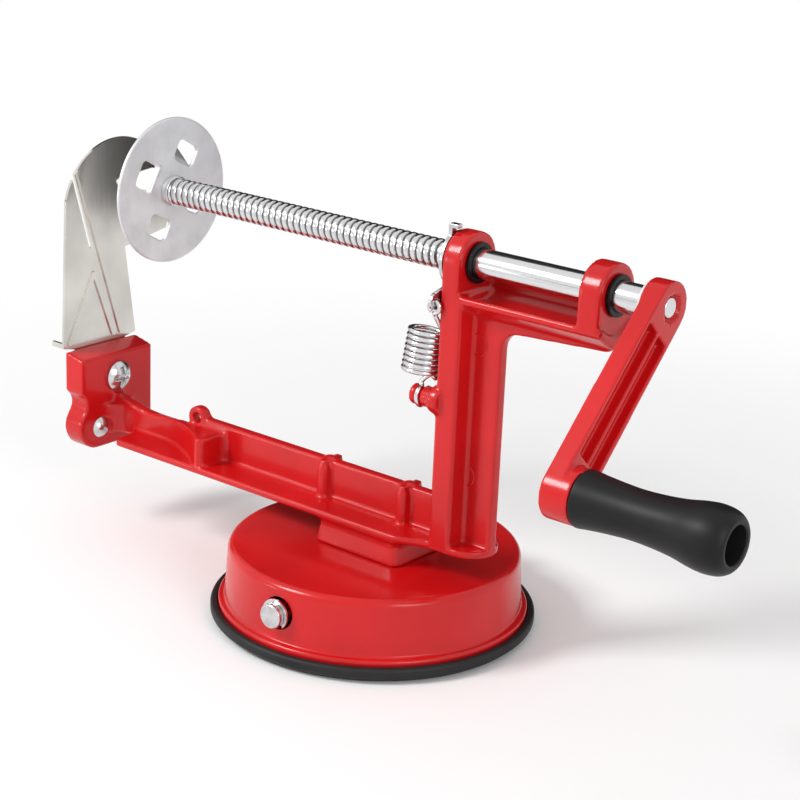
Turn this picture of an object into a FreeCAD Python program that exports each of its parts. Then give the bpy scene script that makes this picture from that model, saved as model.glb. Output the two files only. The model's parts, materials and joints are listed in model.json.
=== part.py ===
import FreeCAD, Part
import math
import os
import re
import Sketcher

# Tornado potato cutter: a cast C-shaped frame on a suction base.  A threaded rod
# with a crank pushes and turns a potato against an upright blade plate.
#
# Frame: +X from the blade towards the crank, +Z up, origin at the centre of the
# suction pad's foot.  All lengths are in millimetres.

SIZES = [
    # Suction pad
    ("pad_radius", 52.5, "outer radius of the rubber pad"),
    ("pad_height", 4.9, "height of the pad's rim"),
    ("pad_seat_height", 3.9, "height of the seat that the housing rests on"),
    ("pad_dish", 0.8, "depth of the ring-shaped hollow under the pad"),
    ("pad_middle_radius", 12.0, "radius of the flat middle under the pad"),
    ("pad_foot_width", 9.0, "width of the ring that touches the table"),
    ("pad_low_round", 2.2, "rounding of the rim's lower edge"),
    ("pad_high_round", 1.2, "rounding of the rim's upper edge"),
    # Base housing
    ("seat_gap", 0.3, "gap between parts that rest on each other"),
    ("housing_height", 20.8, "height of the housing above its seat"),
    ("pad_rim_width", 2.5, "pad beyond the housing's flange"),
    ("housing_flange_thickness", 2.4, "thickness of that flange"),
    ("housing_flange_reach", 2.0, "flange beyond the housing's wall"),
    ("housing_draft", 1.0, "wall radius lost from the flange to the top"),
    ("housing_wall", 2.5, "wall and top plate thickness"),
    ("housing_edge_round", 2.2, "rounding of the top edge"),
    ("housing_boss_radius", 7.0, "radius of the shaft bosses inside the wall"),
    ("housing_boss_length", 7.0, "reach of the shaft bosses inwards"),
    # Cam shaft, stud and lever
    ("cam_shaft_x", 1.6, "shaft axis along X"),
    ("cam_shaft_drop", 9.2, "shaft axis below the top of the housing"),
    ("cam_shaft_radius", 3.95, "shaft radius"),
    ("cam_shaft_overhang", 3.5, "shaft end beyond the housing wall"),
    ("cam_throw", 1.8, "offset of the crank pin that lifts the stud"),
    ("cam_pin_radius", 3.2, "radius of the crank pin"),
    ("cam_pin_overlap", 1.5, "crank pin beyond the stud on each side"),
    ("stud_radius", 7.0, "radius of the stud"),
    ("stud_cap", 1.5, "material above the stud's window"),
    ("stud_foot_radius", 13.0, "radius of the stud's foot"),
    ("stud_foot_height", 2.0, "height of the stud's foot"),
    ("lever_thickness", 3.0, "thickness of the suction lever"),
    ("lever_hub_radius", 5.6, "radius of the lever's hub"),
    ("lever_tip_radius", 4.0, "radius of the lever's tip"),
    ("lever_length", 38.0, "distance from hub to tip"),
    ("lever_droop", 7.0, "angle of the resting lever below level, degrees"),
    ("lever_seat_radius", 2.9, "shaft spigot that carries the lever"),
    ("clip_radius", 4.9, "outer radius of the retaining clip"),
    ("clip_thickness", 1.0, "thickness of the retaining clip"),
    ("clip_groove_depth", 0.8, "depth of the clip's groove"),
    # Clearances
    ("running_clearance", 0.06, "radial clearance of a shaft in its bore"),
    ("moving_gap", 0.3, "gap beside parts that move past each other"),
    # Frame: pedestal, beam and ribs
    ("pedestal_left", -15.0, "left face of the pedestal"),
    ("pedestal_right", 19.5, "right face of the pedestal"),
    ("pedestal_height", 8.2, "height of the beam's underside above the housing"),
    ("pedestal_corner", 3.0, "corner rounding of the pedestal"),
    ("pedestal_draft", -12.0, "lean of the pedestal's sides, degrees"),
    ("pedestal_flare", 2.2, "height of the flare below the flange"),
    ("pedestal_flare_lean", 30.0, "lean of the flare's sides, degrees"),
    ("beam_half_width", 13.5, "half width of the beam's flange"),
    ("beam_flange", 2.6, "thickness of the beam's flange"),
    ("beam_left", -106.5, "left end of the flange"),
    ("beam_right", 18.0, "where the flange starts to round off"),
    ("web_half", 2.0, "half thickness of the web"),
    ("web_height", 15.0, "top of the web above the beam's underside"),
    ("web_left_height", 10.3, "top of the web between the eye and the block"),
    ("web_rise_from", -97.0, "where the web starts to rise to the blade block"),
    ("web_rise", 3.6, "rise of the web up to the blade block"),
    ("web_fillet", 7.0, "hollow corner between the web and the blade block"),
    ("gusset_right", -65.5, "end face of the gusset"),
    ("gusset_fillet", 2.6, "hollow corner between that face and the web"),
    ("gusset_nose", 3.0, "rounding of the gusset's front edge"),
    ("gusset_left", -104.0, "where the gusset leaves the web"),
    ("gusset_height", 12.4, "top of the gusset above the beam's underside"),
    ("gusset_sweep", 46.0, "radius of the gusset's hollow face"),
    ("ear_x", -78.9, "centre of the eye above the gusset"),
    ("ear_rise", 14.4, "centre of the eye above the beam's underside"),
    ("ear_radius", 4.0, "radius of the eye"),
    ("ear_hole_radius", 1.7, "hole in the eye"),
    ("rib_first_x", -19.8, "first rib"),
    ("rib_spacing", 32.9, "distance between the ribs"),
    ("rib_thickness", 3.0, "thickness of a rib"),
    ("rib_reach", 2.6, "rib beyond the web's face"),
    # Frame: upright, bosses and arm
    ("upright_left", 28.3, "left face of the upright"),
    ("upright_thickness", 7.7, "thickness of the upright's flange"),
    ("upright_web_right", 46.2, "outer edge of the upright's web"),
    ("boss_radius", 9.3, "radius of both rod bosses and half width of the upright"),
    ("front_boss_length", 6.4, "length of the front boss"),
    ("rear_boss_left", 76.4, "left face of the rear boss"),
    ("rear_boss_length", 7.3, "length of the rear boss"),
    ("arm_right", 85.0, "end of the arm"),
    ("arm_lip_drop", 8.8, "lips of the arm below the rod's axis"),
    ("arm_lip_thickness", 1.9, "width of the arm's lips"),
    ("arm_trough_radius", 11.5, "trough of the arm about the rod's axis"),
    ("arm_keel_drop", 15.5, "where the trough meets the web, below the axis"),
    ("arm_web_drop", 18.5, "lower edge of the arm's web below the axis"),
    ("arm_web_rise", 1.8, "rise of that edge towards the end"),
    ("inner_corner", 6.0, "corner between the upright's and the arm's webs"),
    # Blade block and blade plate
    ("block_right", -119.7, "inner face of the blade block"),
    ("block_thickness", 8.9, "thickness of the blade block"),
    ("block_half_width", 16.5, "half width of the blade block"),
    ("block_top", 63.2, "top of the blade block above the table"),
    ("block_top_slope", 1.9, "fall of the block's top towards the beam"),
    ("block_waist_top", 49.0, "upper end of the block's waist"),
    ("block_waist_bottom", 41.2, "lower end of the block's waist"),
    ("block_lobe_radius", 8.2, "radius of the block's lower lobe"),
    ("block_lobe_y", 9.0, "centre of the lobe beside the middle"),
    ("block_lobe_z", 36.3, "centre of the lobe above the table"),
    ("block_waist_radius", 5.0, "radius of the waist's hollow"),
    ("plate_thickness", 1.0, "thickness of the blade plate"),
    ("plate_foot_half_width", 12.0, "half width of the plate's foot"),
    ("plate_foot_bottom", 30.8, "lower edge of the blade plate"),
    ("plate_shoulder", 64.0, "where the plate leaves the block"),
    ("plate_left_y", -16.9, "left edge of the plate at the shoulder"),
    ("plate_right_y", 17.0, "right edge of the plate at the shoulder"),
    ("head_radius", 25.0, "radius of the plate's head"),
    ("head_y", 9.3, "centre of the head beside the rod's axis"),
    ("head_drop", 13.7, "centre of the head below the rod's axis"),
    ("head_left_y", -15.1, "left edge of the plate below the head"),
    ("neck_right_y", 12.1, "right edge of the neck below the head"),
    ("neck_right_drop", 28.0, "where the neck meets the head"),
    ("slit_width", 1.3, "width of the slit in front of the cutting edge"),
    ("slit_length", 26.4, "length of the slit"),
    ("slit_y", -7.9, "slit beside the rod's axis"),
    ("slit_lean", 16.6, "lean of the slit, degrees"),
    ("ridge_width", 1.5, "width of the plate's stiffening ridges"),
    ("ridge_height", 0.6, "height of those ridges"),
    ("blade_ridge_top_y", -9.7, "upper end of the ridge beside the slit"),
    ("blade_ridge_low_y", 9.6, "lower end of that ridge"),
    ("fork_y", -2.9, "meeting point of the forked ridge beside the rod"),
    ("fork_drop", 35.1, "that point below the rod's axis"),
    ("fork_left_y", -14.4, "lower end of the fork's left leg"),
    ("fork_right_y", 6.0, "lower end of the fork's right leg"),
    ("plate_tab_length", 5.0, "reach of the tab bent back at the plate's side"),
    ("plate_tab_height", 1.8, "height of that tab"),
    ("blade_screw_z", 53.0, "height of the blade screw"),
    ("rivet_y", 8.0, "rivets beside the middle"),
    ("rivet_z", 35.6, "height of the rivets"),
    # Rod, pusher disc and its fixing
    ("rod_height", 124.0, "rod axis above the table"),
    ("rod_radius", 4.58, "outside radius of the rod and its thread"),
    ("rod_end_x", 101.3, "crank end of the rod"),
    ("rod_spigot_radius", 3.0, "spigots at both ends of the rod"),
    ("bush_wall", 0.9, "wall of the rod bushes"),
    ("bush_flange_radius", 6.2, "flange radius of the rod bushes"),
    ("bush_flange", 1.3, "flange thickness of the rod bushes"),
    ("disc_x", -93.4, "middle of the pusher disc"),
    ("disc_radius", 24.4, "radius of the pusher disc"),
    ("disc_thickness", 1.2, "thickness of the pusher disc"),
    ("disc_window_width", 9.2, "width of the windows punched in the disc"),
    ("disc_window_depth", 7.2, "size of the windows along the radius"),
    ("disc_window_corner", 2.0, "corner rounding of the windows"),
    ("disc_window_pitch", 13.3, "windows from the middle of the disc"),
    ("disc_window_turn", 62.0, "angle of the first window, degrees"),
    ("prong_length", 16.5, "length of the prongs"),
    ("prong_width", 8.4, "width of the prongs at the disc"),
    ("prong_tip", 2.4, "width of the prongs at their tips"),
    ("collar_radius", 5.2, "radius of the collar behind the disc"),
    ("collar_length", 2.4, "length of that collar"),
    ("nut_flats", 9.0, "flats of the nuts"),
    ("nut_height", 3.2, "height of the nuts"),
    ("washer_radius", 7.0, "radius of the thrust washer"),
    ("washer_thickness", 0.8, "thickness of the thrust washer"),
    # Feed lever and spring
    ("feed_plate_thickness", 1.3, "thickness of the feed lever"),
    ("feed_plate_radius", 8.8, "radius of the feed lever about the rod"),
    ("feed_pivot_y", 5.6, "pivot beside the rod's axis"),
    ("feed_pivot_drop", 16.0, "pivot below the rod's axis"),
    ("feed_pivot_radius", 1.8, "radius of the pivot screw"),
    ("feed_lobe_radius", 3.6, "radius of the lever about its pivot"),
    ("feed_slot_y", -2.9, "end of the lever's slot beside the rod"),
    ("feed_slot_drop", 1.2, "end of the lever's slot below the rod"),
    ("feed_ear_y", -10.4, "spring hole beside the rod's axis"),
    ("feed_ear_drop", 11.4, "spring hole below the rod's axis"),
    ("feed_ear_radius", 2.6, "radius of the ear about the spring hole"),
    ("feed_ear_hole", 1.1, "radius of the spring hole"),
    ("feed_tab_left", -4.6, "left edge of the thumb tab"),
    ("feed_tab_width", 4.6, "width of the thumb tab"),
    ("feed_tab_height", 11.2, "top of the thumb tab above the rod's axis"),
    ("feed_tab_reach", 3.4, "reach of the bent thumb tab"),
    ("peg_y", -7.5, "spring peg beside the middle"),
    ("peg_drop", 42.5, "spring peg below the rod's axis"),
    ("peg_radius", 3.3, "radius of the spring peg"),
    ("peg_length", 9.3, "length of the spring peg"),
    ("peg_shoulder_radius", 4.4, "radius of the peg's shoulder on the upright"),
    ("peg_shoulder_length", 1.6, "length of that shoulder"),
    ("peg_groove_radius", 2.3, "radius of the peg's groove"),
    ("peg_groove_width", 1.9, "width of the peg's groove"),
    ("peg_groove_from", 5.1, "groove from the upright's face"),
    ("spring_radius", 5.7, "mean radius of the spring's coil"),
    ("spring_wire", 0.75, "radius of the spring's wire"),
    ("spring_low_drop", 33.8, "lower end of the coil below the rod's axis"),
    ("spring_low_x", 20.6, "lower end of the coil along X"),
    ("spring_low_y", -6.0, "lower end of the coil along Y"),
    ("spring_high_x", 21.5, "upper end of the coil along X"),
    ("spring_high_y", -5.0, "upper end of the coil along Y"),
    ("spring_rise", 13.76, "rise of the coil from end to end"),
    # Crank and grip
    ("crank_angle", 45.0, "angle of the crank from straight down, degrees"),
    ("crank_throw", 61.0, "grip axis from the rod's axis"),
    ("crank_hub_x", 95.2, "inner face of the crank's hub"),
    ("crank_hub_length", 6.6, "length of the crank's hub"),
    ("crank_arm_thickness", 5.8, "thickness of the crank's arm"),
    ("crank_hub_radius", 7.6, "radius of the crank's hub"),
    ("crank_foot_radius", 8.0, "radius of the crank's foot"),
    ("crank_foot_length", 3.2, "foot boss beyond the arm's face"),
    ("crank_rim", 1.3, "width of the arm's rims and ridge"),
    ("crank_channel_depth", 1.7, "depth of the arm's channels"),
    ("grip_neck_radius", 8.2, "radius of the grip at the crank"),
    ("grip_waist_radius", 6.9, "radius of the grip's waist"),
    ("grip_swell_radius", 7.8, "radius where the bulb begins"),
    ("grip_bulb_radius", 9.3, "largest radius of the grip"),
    ("grip_end_radius", 6.9, "radius of the grip's end face"),
    ("grip_waist_at", 17.0, "waist from the grip's near end"),
    ("grip_swell_at", 30.0, "start of the bulb from the near end"),
    ("grip_bulb_at", 39.6, "bulb from the near end"),
    ("grip_length", 46.2, "length of the grip"),
    ("grip_recess_radius", 5.4, "radius of the recess in the grip's end"),
    ("grip_recess_depth", 13.0, "depth of that recess"),
    ("axle_radius", 3.2, "radius of the grip's axle"),
    ("axle_head_radius", 4.6, "radius of the axle's head"),
    ("axle_head_height", 2.6, "height of the axle's head"),
    # Small screws
    ("screw_radius", 2.0, "shank radius of the screws"),
    ("screw_head_radius", 3.6, "head radius of the frame and lever screws"),
    ("screw_head_height", 2.3, "head height of those screws"),
    ("frame_screw_inset", 4.0, "frame screws from the pedestal's ends"),
    ("frame_screw_depth", 8.0, "frame screws into the pedestal"),
    ("lever_screw_depth", 7.0, "lever screw into the shaft"),
    ("blade_screw_head_radius", 5.4, "head radius of the blade screw"),
    ("blade_screw_head_height", 3.4, "head height of the blade screw"),
    ("rivet_head_radius", 3.7, "head radius of the rivets"),
    ("rivet_head_height", 2.0, "head height of the rivets"),
]

doc = FreeCAD.newDocument("TornadoPotatoCutter")
sheet = doc.addObject("Spreadsheet::Sheet", "Sizes")
for row, (size_name, value, meaning) in enumerate(SIZES, start=1):
    sheet.set("A%d" % row, size_name)
    sheet.set("B%d" % row, str(value))
    sheet.set("C%d" % row, meaning)
    sheet.setAlias("B%d" % row, size_name)
doc.recompute()

ALIASES = {size_name for size_name, value, meaning in SIZES}
SUB_PARTS = []

# Heights and places that several pieces share, as expressions of the sizes.
FLANGE_RADIUS = "(pad_radius - pad_rim_width)"
FOOT_RADIUS = "(%s - housing_flange_reach)" % FLANGE_RADIUS
TOP_RADIUS = "(%s - housing_draft)" % FOOT_RADIUS
HOUSING_FLOOR = "(pad_seat_height + seat_gap)"
HOUSING_TOP = "(%s + housing_height)" % HOUSING_FLOOR
CEILING = "(%s - housing_wall)" % HOUSING_TOP
CAM_Z = "(%s - cam_shaft_drop)" % HOUSING_TOP
SIDE = "sqrt(1/2)"
PIN_X = "(cam_shaft_x - cam_throw * %s)" % SIDE
PIN_Z = "(%s - cam_throw * %s)" % (CAM_Z, SIDE)
CLIP_Y = "(%s + seat_gap)" % FOOT_RADIUS
LEVER_Y = "(%s + 2 * seat_gap)" % FLANGE_RADIUS
BEAM_Z = "(%s + pedestal_height)" % HOUSING_TOP
PLATE_X = "(block_right - block_thickness)"
HEAD_Z = "(rod_height - head_drop)"
BORE_RADIUS = "(rod_radius + running_clearance)"
BUSH_RADIUS = "(rod_radius + bush_wall)"
FEED_X = "(upright_left - seat_gap - feed_plate_thickness)"
PIVOT_Z = "(rod_height - feed_pivot_drop)"
EAR_Z = "(rod_height - feed_ear_drop)"
PEG_Z = "(rod_height - peg_drop)"
LIP_Z = "(rod_height - arm_lip_drop)"
WEB_TOP = "(%s + web_height)" % BEAM_Z
WEB_LEFT_TOP = "(%s + web_left_height)" % BEAM_Z
FRAME_SCREWS = ("pedestal_left + frame_screw_inset", "pedestal_right - frame_screw_inset")
CRANK_FACE = "(crank_hub_x + crank_hub_length)"
ARM_BACK = "(%s - crank_arm_thickness)" % CRANK_FACE
GRIP_X = "(%s + crank_foot_length + moving_gap)" % CRANK_FACE


def bound(expression):
    """The expression with each size name pointing at its cell in the sheet."""
    def cell(match):
        word = match.group()
        return "Sizes." + word if word in ALIASES else word
    return re.sub(r"[a-z][a-z0-9_]*", cell, str(expression))


def size(expression):
    """The present value of an expression of the sizes."""
    return float(sheet.evalExpression(bound(expression)))


def new_body(label):
    """An empty body that becomes one sub-part."""
    body = doc.addObject("PartDesign::Body", label)
    body.Label = label
    SUB_PARTS.append(body)
    doc.recompute()
    return body


def place(body, x="0", y="0", z="0", axis=(0, 0, 1), angle="0"):
    """Puts a body at a point, turned about an axis."""
    turn = FreeCAD.Rotation(FreeCAD.Vector(*axis), size(angle))
    body.Placement = FreeCAD.Placement(FreeCAD.Vector(size(x), size(y), size(z)), turn)
    for direction, expression in (("x", x), ("y", y), ("z", z)):
        body.setExpression("Placement.Base." + direction, bound(expression))
    if size(angle) != 0:
        body.setExpression("Placement.Rotation.Angle", bound(angle))


def new_sketch(body, name, plane, offset=("0", "0", "0")):
    """A sketch on one of the body's origin planes, moved by an offset."""
    sketch = body.newObject("Sketcher::SketchObject", name)
    for feature in body.Origin.OriginFeatures:
        if feature.Role == plane + "_Plane":
            sketch.AttachmentSupport = [(feature, "")]
    sketch.MapMode = "FlatFace"
    shift = FreeCAD.Vector(*[size(expression) for expression in offset])
    sketch.AttachmentOffset = FreeCAD.Placement(shift, FreeCAD.Rotation())
    for direction, expression in zip("xyz", offset):
        sketch.setExpression("AttachmentOffset.Base." + direction, bound(expression))
    return sketch


def fix_point(sketch, geometry, point, x, y):
    """Binds a point of the sketch to a pair of expressions."""
    for kind, expression, axis in (("DistanceX", x, -2), ("DistanceY", y, -1)):
        value = size(expression)
        if abs(value) < 1e-9:
            sketch.addConstraint(Sketcher.Constraint("PointOnObject", geometry, point, axis))
        else:
            index = sketch.addConstraint(
                Sketcher.Constraint(kind, -1, 1, geometry, point, value))
            sketch.setExpression("Constraints[%d]" % index, bound(expression))


def arc_between(start, end, radius, turn):
    """The short arc from start to end; turn is +1 anticlockwise, -1 clockwise."""
    chord = end - start
    rise = math.sqrt(max(radius ** 2 - chord.Length ** 2 / 4, 0))
    left = FreeCAD.Vector(-chord.y, chord.x, 0).normalize()
    centre = (start + end) / 2 + left * (rise * turn)
    first, last = (start, end) if turn > 0 else (end, start)
    angles = [math.atan2(p.y - centre.y, p.x - centre.x) for p in (first, last)]
    circle = Part.Circle(centre, FreeCAD.Vector(0, 0, 1), radius)
    return Part.ArcOfCircle(circle, angles[0], angles[1])


def add_outline(sketch, corners):
    """A closed outline through corners (x, y) or (x, y, radius, turn).

    The last two give the arc that leads to the next corner.
    """
    points = [FreeCAD.Vector(size(c[0]), size(c[1]), 0) for c in corners]
    ends = []
    for index, corner in enumerate(corners):
        start = points[index]
        end = points[(index + 1) % len(points)]
        if len(corner) == 2:
            edge = sketch.addGeometry(Part.LineSegment(start, end))
            ends.append((edge, 1, 2))
            continue
        arc = arc_between(start, end, size(corner[2]), corner[3])
        edge = sketch.addGeometry(arc)
        ends.append((edge, 1, 2) if corner[3] > 0 else (edge, 2, 1))
    for index, (edge, first, last) in enumerate(ends):
        following = ends[(index + 1) % len(ends)]
        sketch.addConstraint(
            Sketcher.Constraint("Coincident", edge, last, following[0], following[1]))
    for index, corner in enumerate(corners):
        fix_point(sketch, ends[index][0], ends[index][1], corner[0], corner[1])
    for index, corner in enumerate(corners):
        if len(corner) > 2:
            rule = sketch.addConstraint(
                Sketcher.Constraint("Radius", ends[index][0], size(corner[2])))
            sketch.setExpression("Constraints[%d]" % rule, bound(corner[2]))


def add_circle(sketch, x, y, radius):
    """A circle bound to its centre and radius."""
    centre = FreeCAD.Vector(size(x), size(y), 0)
    edge = sketch.addGeometry(Part.Circle(centre, FreeCAD.Vector(0, 0, 1), size(radius)))
    fix_point(sketch, edge, 3, x, y)
    rule = sketch.addConstraint(Sketcher.Constraint("Radius", edge, size(radius)))
    sketch.setExpression("Constraints[%d]" % rule, bound(radius))


def add_slot(sketch, start, end, radius):
    """A round-ended slot between two centres."""
    first = FreeCAD.Vector(size(start[0]), size(start[1]), 0)
    last = FreeCAD.Vector(size(end[0]), size(end[1]), 0)
    reach = size(radius)
    along = (last - first).normalize()
    side = FreeCAD.Vector(-along.y, along.x, 0) * reach
    lean = math.atan2(along.y, along.x)
    up = FreeCAD.Vector(0, 0, 1)
    quarter = math.pi / 2
    far = sketch.addGeometry(
        Part.ArcOfCircle(Part.Circle(last, up, reach), lean - quarter, lean + quarter))
    back = sketch.addGeometry(Part.LineSegment(last + side, first + side))
    near = sketch.addGeometry(
        Part.ArcOfCircle(Part.Circle(first, up, reach), lean + quarter, lean + 3 * quarter))
    out = sketch.addGeometry(Part.LineSegment(first - side, last - side))
    for edge, following in ((far, back), (back, near), (near, out), (out, far)):
        sketch.addConstraint(Sketcher.Constraint("Tangent", edge, 2, following, 1))
    fix_point(sketch, near, 3, start[0], start[1])
    fix_point(sketch, far, 3, end[0], end[1])
    rule = sketch.addConstraint(Sketcher.Constraint("Radius", far, reach))
    sketch.setExpression("Constraints[%d]" % rule, bound(radius))


def pad(body, sketch, length, taper=None):
    """Extrudes a sketch along its normal."""
    feature = body.newObject("PartDesign::Pad", sketch.Name + "Pad")
    feature.Profile = sketch
    feature.setExpression("Length", bound(length))
    if taper:
        feature.setExpression("TaperAngle", bound(taper))
    doc.recompute()
    return feature


def cut(body, sketch, length, both_ways=False):
    """Pockets a sketch against its normal and checks that it removes material."""
    before = body.Shape.Volume
    feature = body.newObject("PartDesign::Pocket", sketch.Name + "Pocket")
    feature.Profile = sketch
    feature.setExpression("Length", bound(length))
    feature.Midplane = both_ways
    doc.recompute()
    if not body.Shape.Volume < before:
        raise RuntimeError("%s removes nothing" % feature.Name)
    return feature


def revolve(body, sketch, axis="V_Axis"):
    """Turns a sketch once round one of its axes."""
    feature = body.newObject("PartDesign::Revolution", sketch.Name + "Turn")
    feature.Profile = sketch
    feature.ReferenceAxis = (sketch, [axis])
    feature.Angle = 360
    doc.recompute()
    return feature


def turned_part(label, corners, x="0", y="0", z="0", axis=(0, 0, 1), angle="0"):
    """A body turned about its own Z axis from corners (radius, height)."""
    body = new_body(label)
    sketch = new_sketch(body, label + "_profile", "XZ")
    add_outline(sketch, corners)
    revolve(body, sketch)
    place(body, x, y, z, axis, angle)
    return body


def make_suction_pad():
    """Rubber pad: a ring that seals on the table round a thin hollow middle."""
    body = new_body("suction_pad")
    profile = new_sketch(body, "pad_profile", "XZ")
    add_outline(profile, [
        ("0", "0"),
        ("pad_middle_radius", "0"),
        ("pad_middle_radius + pad_dish", "pad_dish"),
        ("pad_radius - pad_low_round - pad_foot_width - pad_dish", "pad_dish"),
        ("pad_radius - pad_low_round - pad_foot_width", "0"),
        ("pad_radius - pad_low_round", "0", "pad_low_round", 1),
        ("pad_radius", "pad_low_round"),
        ("pad_radius", "pad_height - pad_high_round", "pad_high_round", 1),
        ("pad_radius - pad_high_round", "pad_height"),
        (FLANGE_RADIUS + " + seat_gap", "pad_height"),
        (FLANGE_RADIUS + " + seat_gap", "pad_seat_height"),
        ("0", "pad_seat_height"),
    ])
    revolve(body, profile)


def make_base_housing():
    """Round cover: out-turned flange, drafted wall, top plate and shaft bosses."""
    body = new_body("base_housing")
    profile = new_sketch(body, "housing_profile", "XZ")
    add_outline(profile, [
        (FOOT_RADIUS + " - housing_wall", HOUSING_FLOOR),
        (FLANGE_RADIUS, HOUSING_FLOOR),
        (FLANGE_RADIUS, HOUSING_FLOOR + " + housing_flange_thickness"),
        (FOOT_RADIUS, HOUSING_FLOOR + " + housing_flange_thickness"),
        (TOP_RADIUS, HOUSING_TOP + " - housing_edge_round", "housing_edge_round", 1),
        (TOP_RADIUS + " - housing_edge_round", HOUSING_TOP),
        ("0", HOUSING_TOP),
        ("0", CEILING),
        (TOP_RADIUS + " - housing_wall", CEILING),
    ])
    revolve(body, profile)
    inside = "(%s - housing_wall - housing_boss_length)" % TOP_RADIUS
    length = "(housing_boss_length + housing_wall / 2)"
    for name, start in (("front_boss", inside), ("back_boss", "-%s - %s" % (inside, length))):
        boss = new_sketch(body, name + "_in_wall", "XZ", ("0", "0", start))
        add_circle(boss, "cam_shaft_x", CAM_Z, "housing_boss_radius")
        pad(body, boss, length)
    bore = new_sketch(body, "shaft_bore", "XZ")
    add_circle(bore, "cam_shaft_x", CAM_Z, "cam_shaft_radius + running_clearance")
    cut(body, bore, "4 * pad_radius", both_ways=True)
    holes = new_sketch(body, "frame_screw_holes", "XY", ("0", "0", HOUSING_TOP))
    for centre in FRAME_SCREWS:
        add_circle(holes, centre, "0", "screw_radius + seat_gap")
    cut(body, holes, "2 * housing_wall")


def make_suction_stud():
    """Stud on the middle of the pad, with a window for the cam shaft's crank pin."""
    foot = "(pad_seat_height + seat_gap)"
    window_half = "(cam_pin_radius + moving_gap)"
    top = "(%s + %s + stud_cap)" % (PIN_Z, window_half)
    body = new_body("suction_stud")
    profile = new_sketch(body, "stud_profile", "XZ")
    add_outline(profile, [
        ("0", foot),
        ("stud_foot_radius", foot),
        ("stud_foot_radius", foot + " + stud_foot_height"),
        ("stud_radius", foot + " + stud_foot_height"),
        ("stud_radius", top),
        ("0", top),
    ])
    revolve(body, profile)
    window = new_sketch(body, "stud_window", "XZ")
    left = "%s - cam_throw - moving_gap" % PIN_X
    right = "%s + cam_throw + moving_gap" % PIN_X
    low = "%s - %s" % (PIN_Z, window_half)
    high = "%s + %s" % (PIN_Z, window_half)
    left_side = "%s - cam_pin_radius" % left
    right_side = "%s + cam_pin_radius - cam_throw" % right
    add_outline(window, [(left_side, low), (right_side, low), (right_side, high), (left_side, high)])
    cut(body, window, "4 * stud_radius", both_ways=True)


def make_cam_shaft():
    """Cross shaft with an offset crank pin in the middle and a spigot for the lever."""
    pin_half = "(stud_radius + cam_pin_overlap)"
    front = "(%s + cam_shaft_overhang)" % FOOT_RADIUS
    groove = "(cam_shaft_radius - clip_groove_depth)"
    body = new_body("cam_shaft")
    profile = new_sketch(body, "shaft_profile", "XZ")
    add_outline(profile, [
        ("0", pin_half),
        ("cam_shaft_radius", pin_half),
        ("cam_shaft_radius", CLIP_Y),
        (groove, CLIP_Y),
        (groove, CLIP_Y + " + clip_thickness"),
        ("cam_shaft_radius", CLIP_Y + " + clip_thickness"),
        ("cam_shaft_radius", front + " - seat_gap"),
        ("cam_shaft_radius - seat_gap", front),
        ("0", front),
    ])
    revolve(body, profile)
    pin = new_sketch(body, "crank_pin", "XY", ("0", "0", "-" + pin_half))
    add_circle(pin, "-cam_throw * " + SIDE, "-cam_throw * " + SIDE, "cam_pin_radius")
    pad(body, pin, "2 * " + pin_half)
    back = new_sketch(body, "back_journal", "XY", ("0", "0", "-" + LEVER_Y))
    add_circle(back, "0", "0", "cam_shaft_radius")
    pad(body, back, LEVER_Y + " - " + pin_half)
    spigot = new_sketch(body, "lever_spigot", "XY", ("0", "0", "-%s - lever_thickness" % LEVER_Y))
    add_circle(spigot, "0", "0", "lever_seat_radius")
    pad(body, spigot, "lever_thickness + cam_shaft_radius")
    hole = new_sketch(body, "lever_screw_hole", "XY", ("0", "0", "-%s - lever_thickness" % LEVER_Y))
    add_circle(hole, "0", "0", "screw_radius + running_clearance")
    cut(body, hole, "2 * (lever_screw_depth + seat_gap)", both_ways=True)
    place(body, "cam_shaft_x", "0", CAM_Z, (1, 0, 0), "90")


def make_suction_lever():
    """Flat lever on the shaft's back end; lifting it raises the stud."""
    body = new_body("suction_lever")
    bar = new_sketch(body, "lever_bar", "XZ", ("0", "0", "-lever_thickness"))
    add_taper(bar, "lever_length", "lever_hub_radius", "lever_tip_radius")
    pad(body, bar, "lever_thickness")
    bore = new_sketch(body, "lever_bore", "XZ")
    add_circle(bore, "0", "0", "lever_seat_radius + running_clearance")
    cut(body, bore, "4 * lever_thickness", both_ways=True)
    place(body, "cam_shaft_x", LEVER_Y, CAM_Z, (0, 1, 0), "-lever_droop")


def add_taper(sketch, length, near, far):
    """A bar along -x with round ends of two radii joined by tangents."""
    slope = "((%s - %s) / %s)" % (near, far, length)
    level = "sqrt(1 - %s ^ 2)" % slope
    add_outline(sketch, [
        ("%s * -%s" % (near, slope), "%s * %s" % (near, level)),
        ("-%s - %s * %s" % (length, far, slope), "%s * %s" % (far, level), far, 1),
        ("-%s - %s" % (length, far), "0", far, 1),
        ("-%s - %s * %s" % (length, far, slope), "-%s * %s" % (far, level)),
        ("%s * -%s" % (near, slope), "-%s * %s" % (near, level), near, 1),
        (near, "0", near, 1),
    ])


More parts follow.
